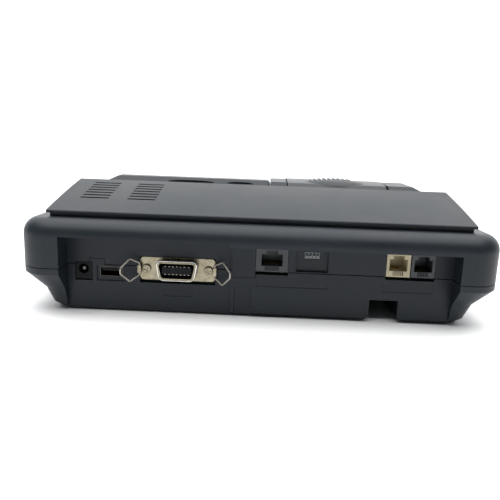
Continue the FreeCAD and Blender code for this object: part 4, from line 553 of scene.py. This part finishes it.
@dataclass
class Printer(Assembly):
    """The roll printer: housing, cover, frame, drive, head and paper."""

    dome_mm: tuple[float, float, float] = (25.0, 13.5, 5.0)
    dome_middle_mm: tuple[float, float, float] = (-49.75, 17.0, 68.2)
    rib_count: int = 9
    rib_mm: float = 0.9
    rib_proud_mm: float = 0.45
    rib_round_mm: float = 0.3
    rib_sides: int = 24
    flange_mm: float = 1.5
    base_drop_mm: float = 1.6

    def finishes(self) -> dict[str, Finish]:
        """Slate covers over zinc, acetal, rubber and paper."""
        return {"printer_housing": SLATE_ABS, "printer_cover": COVER_ABS, "cover_grip": COVER_ABS,
                "printer_frame": ZINC, "platen_roller": PLATEN_RUBBER, "platen_shaft": NICKEL,
                "platen_gear": ACETAL, "motor_pinion": ACETAL, "feed_motor": DRAWN_STEEL,
                "thermal_head": GLAZE, "head_springs": NICKEL, "tear_bar": NICKEL, "paper_roll": PAPER}

    def model(self) -> list[bpy.types.Object]:
        """The grip with rounded ribs that follow the cover's dome, in place of the plain block."""
        low, high = (Vector(corner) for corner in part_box("cover_grip"))
        middle_x, middle_y = (low.x + high.x) / 2, (low.y + high.y) / 2
        top = self.dome_height(middle_x, middle_y) - self.base_drop_mm * MM
        inset = self.flange_mm * MM
        first, last = low.x + inset + self.rib_mm * MM, high.x - inset - self.rib_mm * MM
        length = high.y - low.y - 2 * inset
        rib = self.rib(length)
        ribs = [rib] + [copied(rib) for _ in range(self.rib_count - 1)]
        for place, piece in enumerate(ribs):
            across = first + (last - first) * place / (self.rib_count - 1)
            piece.location = (across, middle_y,
                              self.dome_height(across, middle_y) + (self.rib_proud_mm - self.rib_mm) * MM)
            settle(piece)
        deselect()
        bpy.ops.mesh.primitive_cube_add(size=1)
        base = added("ribbed_grip")
        base.scale = (high.x - low.x - 2 * inset, length, top - low.z)
        base.location = (middle_x, middle_y, (top + low.z) / 2)
        settle(base)
        for piece in ribs:
            piece.select_set(True)
        bpy.ops.object.join()
        paint(base, COVER_ABS)
        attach(base, "cover_grip")
        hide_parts("cover_grip")
        return [base]

    def dome_height(self, x: float, y: float) -> float:
        """The height of the cover's dome over a point, in metres.

        Args:
            x: the point's place across.
            y: the point's place along.
        Returns:
            The height above the floor.
        """
        reach = [((value / MM - middle) / radius) ** 2
                 for value, middle, radius in zip((x, y), self.dome_middle_mm, self.dome_mm)]
        return (self.dome_middle_mm[2] + self.dome_mm[2] * math.sqrt(1 - sum(reach))) * MM

    def rib(self, length: float) -> bpy.types.Object:
        """One rounded rib along Y at the origin.

        Args:
            length: the rib's length in metres.
        Returns:
            A rod with rounded ends.
        """
        deselect()
        bpy.ops.mesh.primitive_cylinder_add(vertices=self.rib_sides, radius=self.rib_mm * MM, depth=length,
                                            rotation=(math.radians(90), 0, 0))
        rib = added("grip_rib")
        settle(rib)
        apply_modifier(rib, "BEVEL", width=self.rib_round_mm * MM, segments=3, limit_method="ANGLE")
        bpy.ops.object.shade_smooth_by_angle(angle=SMOOTH_ANGLE)
        return rib


@dataclass
class Display(Assembly):
    """The display housing, its window and its panel."""

    def finishes(self) -> dict[str, Finish]:
        """Slate housing, clear window and a still panel."""
        return {"display_housing": SLATE_ABS, "display_window": ACRYLIC, "display_panel": CRYSTAL}


@dataclass
class KeyDeck(Assembly):
    """The dial keys, the stop and start keys and the sheet below them."""

    deck_angle: float = 13.0
    letter_mm: float = 6.5
    ink_mm: float = 0.03

    def finishes(self) -> dict[str, Finish]:
        """Pale dial keys beside a red and a green one."""
        return {"key_sheet": SILICONE, "stop_key": STOP_ABS, "start_key": START_ABS,
                **{mark.node: KEY_ABS for mark in KeyMark}}

    def model(self) -> list[bpy.types.Object]:
        """The printed mark of each dial key."""
        return [self.mark(mark) for mark in KeyMark]

    def spot(self, key: bpy.types.Object) -> Vector:
        """The middle of a key's sloping top.

        Args:
            key: the key's CAD node.
        Returns:
            A point just above the top face.
        """
        tilt = math.radians(self.deck_angle)
        above = Vector((0, -math.sin(tilt), math.cos(tilt)))
        along = Vector((0, math.cos(tilt), math.sin(tilt)))
        corners = [key.matrix_world @ corner.co for corner in key.data.vertices]
        across = [corner.x for corner in corners]
        lengths = [corner.dot(along) for corner in corners]
        height = max(corner.dot(above) for corner in corners) + self.ink_mm * MM
        return (Vector(((min(across) + max(across)) / 2, 0, 0))
                + along * (min(lengths) + max(lengths)) / 2 + above * height)

    def mark(self, mark: KeyMark) -> bpy.types.Object:
        """Prints one mark on its key.

        Args:
            mark: the key and what it shows.
        Returns:
            The mark as a thin mesh that rides on its key.
        """
        tilt = math.radians(self.deck_angle)
        spot = self.spot(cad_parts[mark.node])
        deselect()
        bpy.ops.object.text_add()
        print_piece = added(f"{mark.node}_mark")
        print_piece.data.body = mark.value
        print_piece.data.size = self.letter_mm * MM
        print_piece.data.extrude = self.ink_mm * MM
        print_piece.data.align_x = "CENTER"
        print_piece.data.align_y = "CENTER"
        bpy.ops.object.convert(target="MESH")
        print_piece = bpy.context.active_object
        print_piece.rotation_euler = (tilt, 0, 0)
        print_piece.location = spot
        settle(print_piece)
        paint(print_piece, INK)
        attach(print_piece, mark.node)
        return print_piece


@dataclass
class Studio:
    """The floor, the bright wall behind, the soft lights and the camera at the photograph's place."""

    floor_size: float = 12.0
    wall_distance: float = 2.2
    wall_glow: float = 1.3
    lamp_place: tuple[float, float, float] = (0.0, 0.2, 1.5)
    lamp_target: tuple[float, float, float] = (0.0, 0.1, 0.0)
    lamp_size: tuple[float, float] = (2.4, 1.8)
    lamp_power: float = 56.0
    room_colour: tuple[float, float, float, float] = (0.9, 0.95, 1.0, 1.0)
    room_strength: float = 0.15
    sensor_mm: float = 36.0
    nearest: float = 0.01
    camera_place_mm: tuple[float, float, float] = (-1.23, 391.73, 101.39)
    pitch: float = 0.21116
    yaw: float = -0.021477
    roll: float = 0.036628
    focal_pixels: float = 540.38
    image_pixels: float = 500.0

    def floor(self) -> None:
        """A plain pale floor with its top at the feet."""
        deselect()
        bpy.ops.mesh.primitive_plane_add(size=self.floor_size, location=(0, 0, 0))
        floor = added("studio_floor")
        paint(floor, Finish("pale_studio_floor", "#f4f4f4", "#f6f6f6", 0.8, 0.02, 4.0, 0.0, 0.0, 900.0))

    def glow(self, material: bpy.types.Material, strength: float) -> None:
        """Lets a studio surface give off white light, as a lit paper sweep does.

        Args:
            material: the surface's material.
            strength: how much light it gives off.
        """
        shader = material.node_tree.nodes["Principled BSDF"]
        shader.inputs["Emission Color"].default_value = (1, 1, 1, 1)
        shader.inputs["Emission Strength"].default_value = strength

    def wall(self) -> None:
        """A bright wall behind the object, far enough not to shade the floor."""
        deselect()
        turn = (math.radians(90), 0, 0)
        bpy.ops.mesh.primitive_plane_add(size=self.floor_size, location=(0, -self.wall_distance, 0),
                                         rotation=turn)
        wall = added("studio_wall")
        paint(wall, Finish("bright_studio_wall", "#f4f4f4", "#f6f6f6", 0.8, 0.02, 4.0, 0.0, 0.0, 900.0))
        self.glow(wall.active_material, self.wall_glow)

    def lamp(self, name: str, place: tuple[float, float, float], target: tuple[float, float, float],
             size: tuple[float, float], power: float) -> None:
        """Adds one soft box that faces a point.

        Args:
            name: the light's name.
            place: where it hangs, in metres.
            target: the point that it faces.
            size: its width and height.
            power: its power in watts.
        """
        deselect()
        bpy.ops.object.light_add(type="AREA", location=place)
        lamp = added(name)
        lamp.data.shape = "RECTANGLE"
        lamp.data.size, lamp.data.size_y = size
        lamp.data.energy = power
        lamp.rotation_euler = (Vector(target) - Vector(place)).to_track_quat("-Z", "Y").to_euler()

    def lights(self) -> None:
        """An overhead soft box, and a weak grey room."""
        self.lamp("overhead_box", self.lamp_place, self.lamp_target, self.lamp_size, self.lamp_power)
        world = bpy.data.worlds.new("studio_room")
        world.use_nodes = True
        room = world.node_tree.nodes["Background"]
        room.inputs["Color"].default_value = self.room_colour
        room.inputs["Strength"].default_value = self.room_strength
        bpy.context.scene.world = world
        bpy.context.scene.view_settings.view_transform = "Standard"

    def camera(self) -> None:
        """The camera at the photograph's place, turn and angle of view."""
        flat = Vector((-math.sin(self.yaw), -math.cos(self.yaw), 0))
        side = Vector((-math.cos(self.yaw), math.sin(self.yaw), 0))
        forward = flat * math.cos(self.pitch) - Vector((0, 0, math.sin(self.pitch)))
        raised = flat * math.sin(self.pitch) + Vector((0, 0, math.cos(self.pitch)))
        right = side * math.cos(self.roll) + raised * math.sin(self.roll)
        above = raised * math.cos(self.roll) - side * math.sin(self.roll)
        turn = Matrix((right, above, -forward)).transposed()
        deselect()
        bpy.ops.object.camera_add()
        camera = added("photo_camera")
        camera.data.sensor_width = self.sensor_mm
        camera.data.lens = self.sensor_mm * self.focal_pixels / self.image_pixels
        camera.data.clip_start = self.nearest
        camera.matrix_world = Matrix.Translation(Vector(self.camera_place_mm) * MM) @ turn.to_4x4()
        bpy.context.scene.camera = camera

    def build(self) -> None:
        """Sets up the whole studio."""
        self.floor()
        self.wall()
        self.lights()
        self.camera()


def main() -> None:
    """Builds the sub-assemblies and the studio in order."""
    logging.basicConfig(level=logging.INFO, format="%(name)s: %(message)s")
    for assembly in (CaseShells(), Boards(), PowerSide(), LineSide(), Printer(), Display(), KeyDeck()):
        assembly.build()
    Studio().build()


if __name__ == "__main__":
    main()
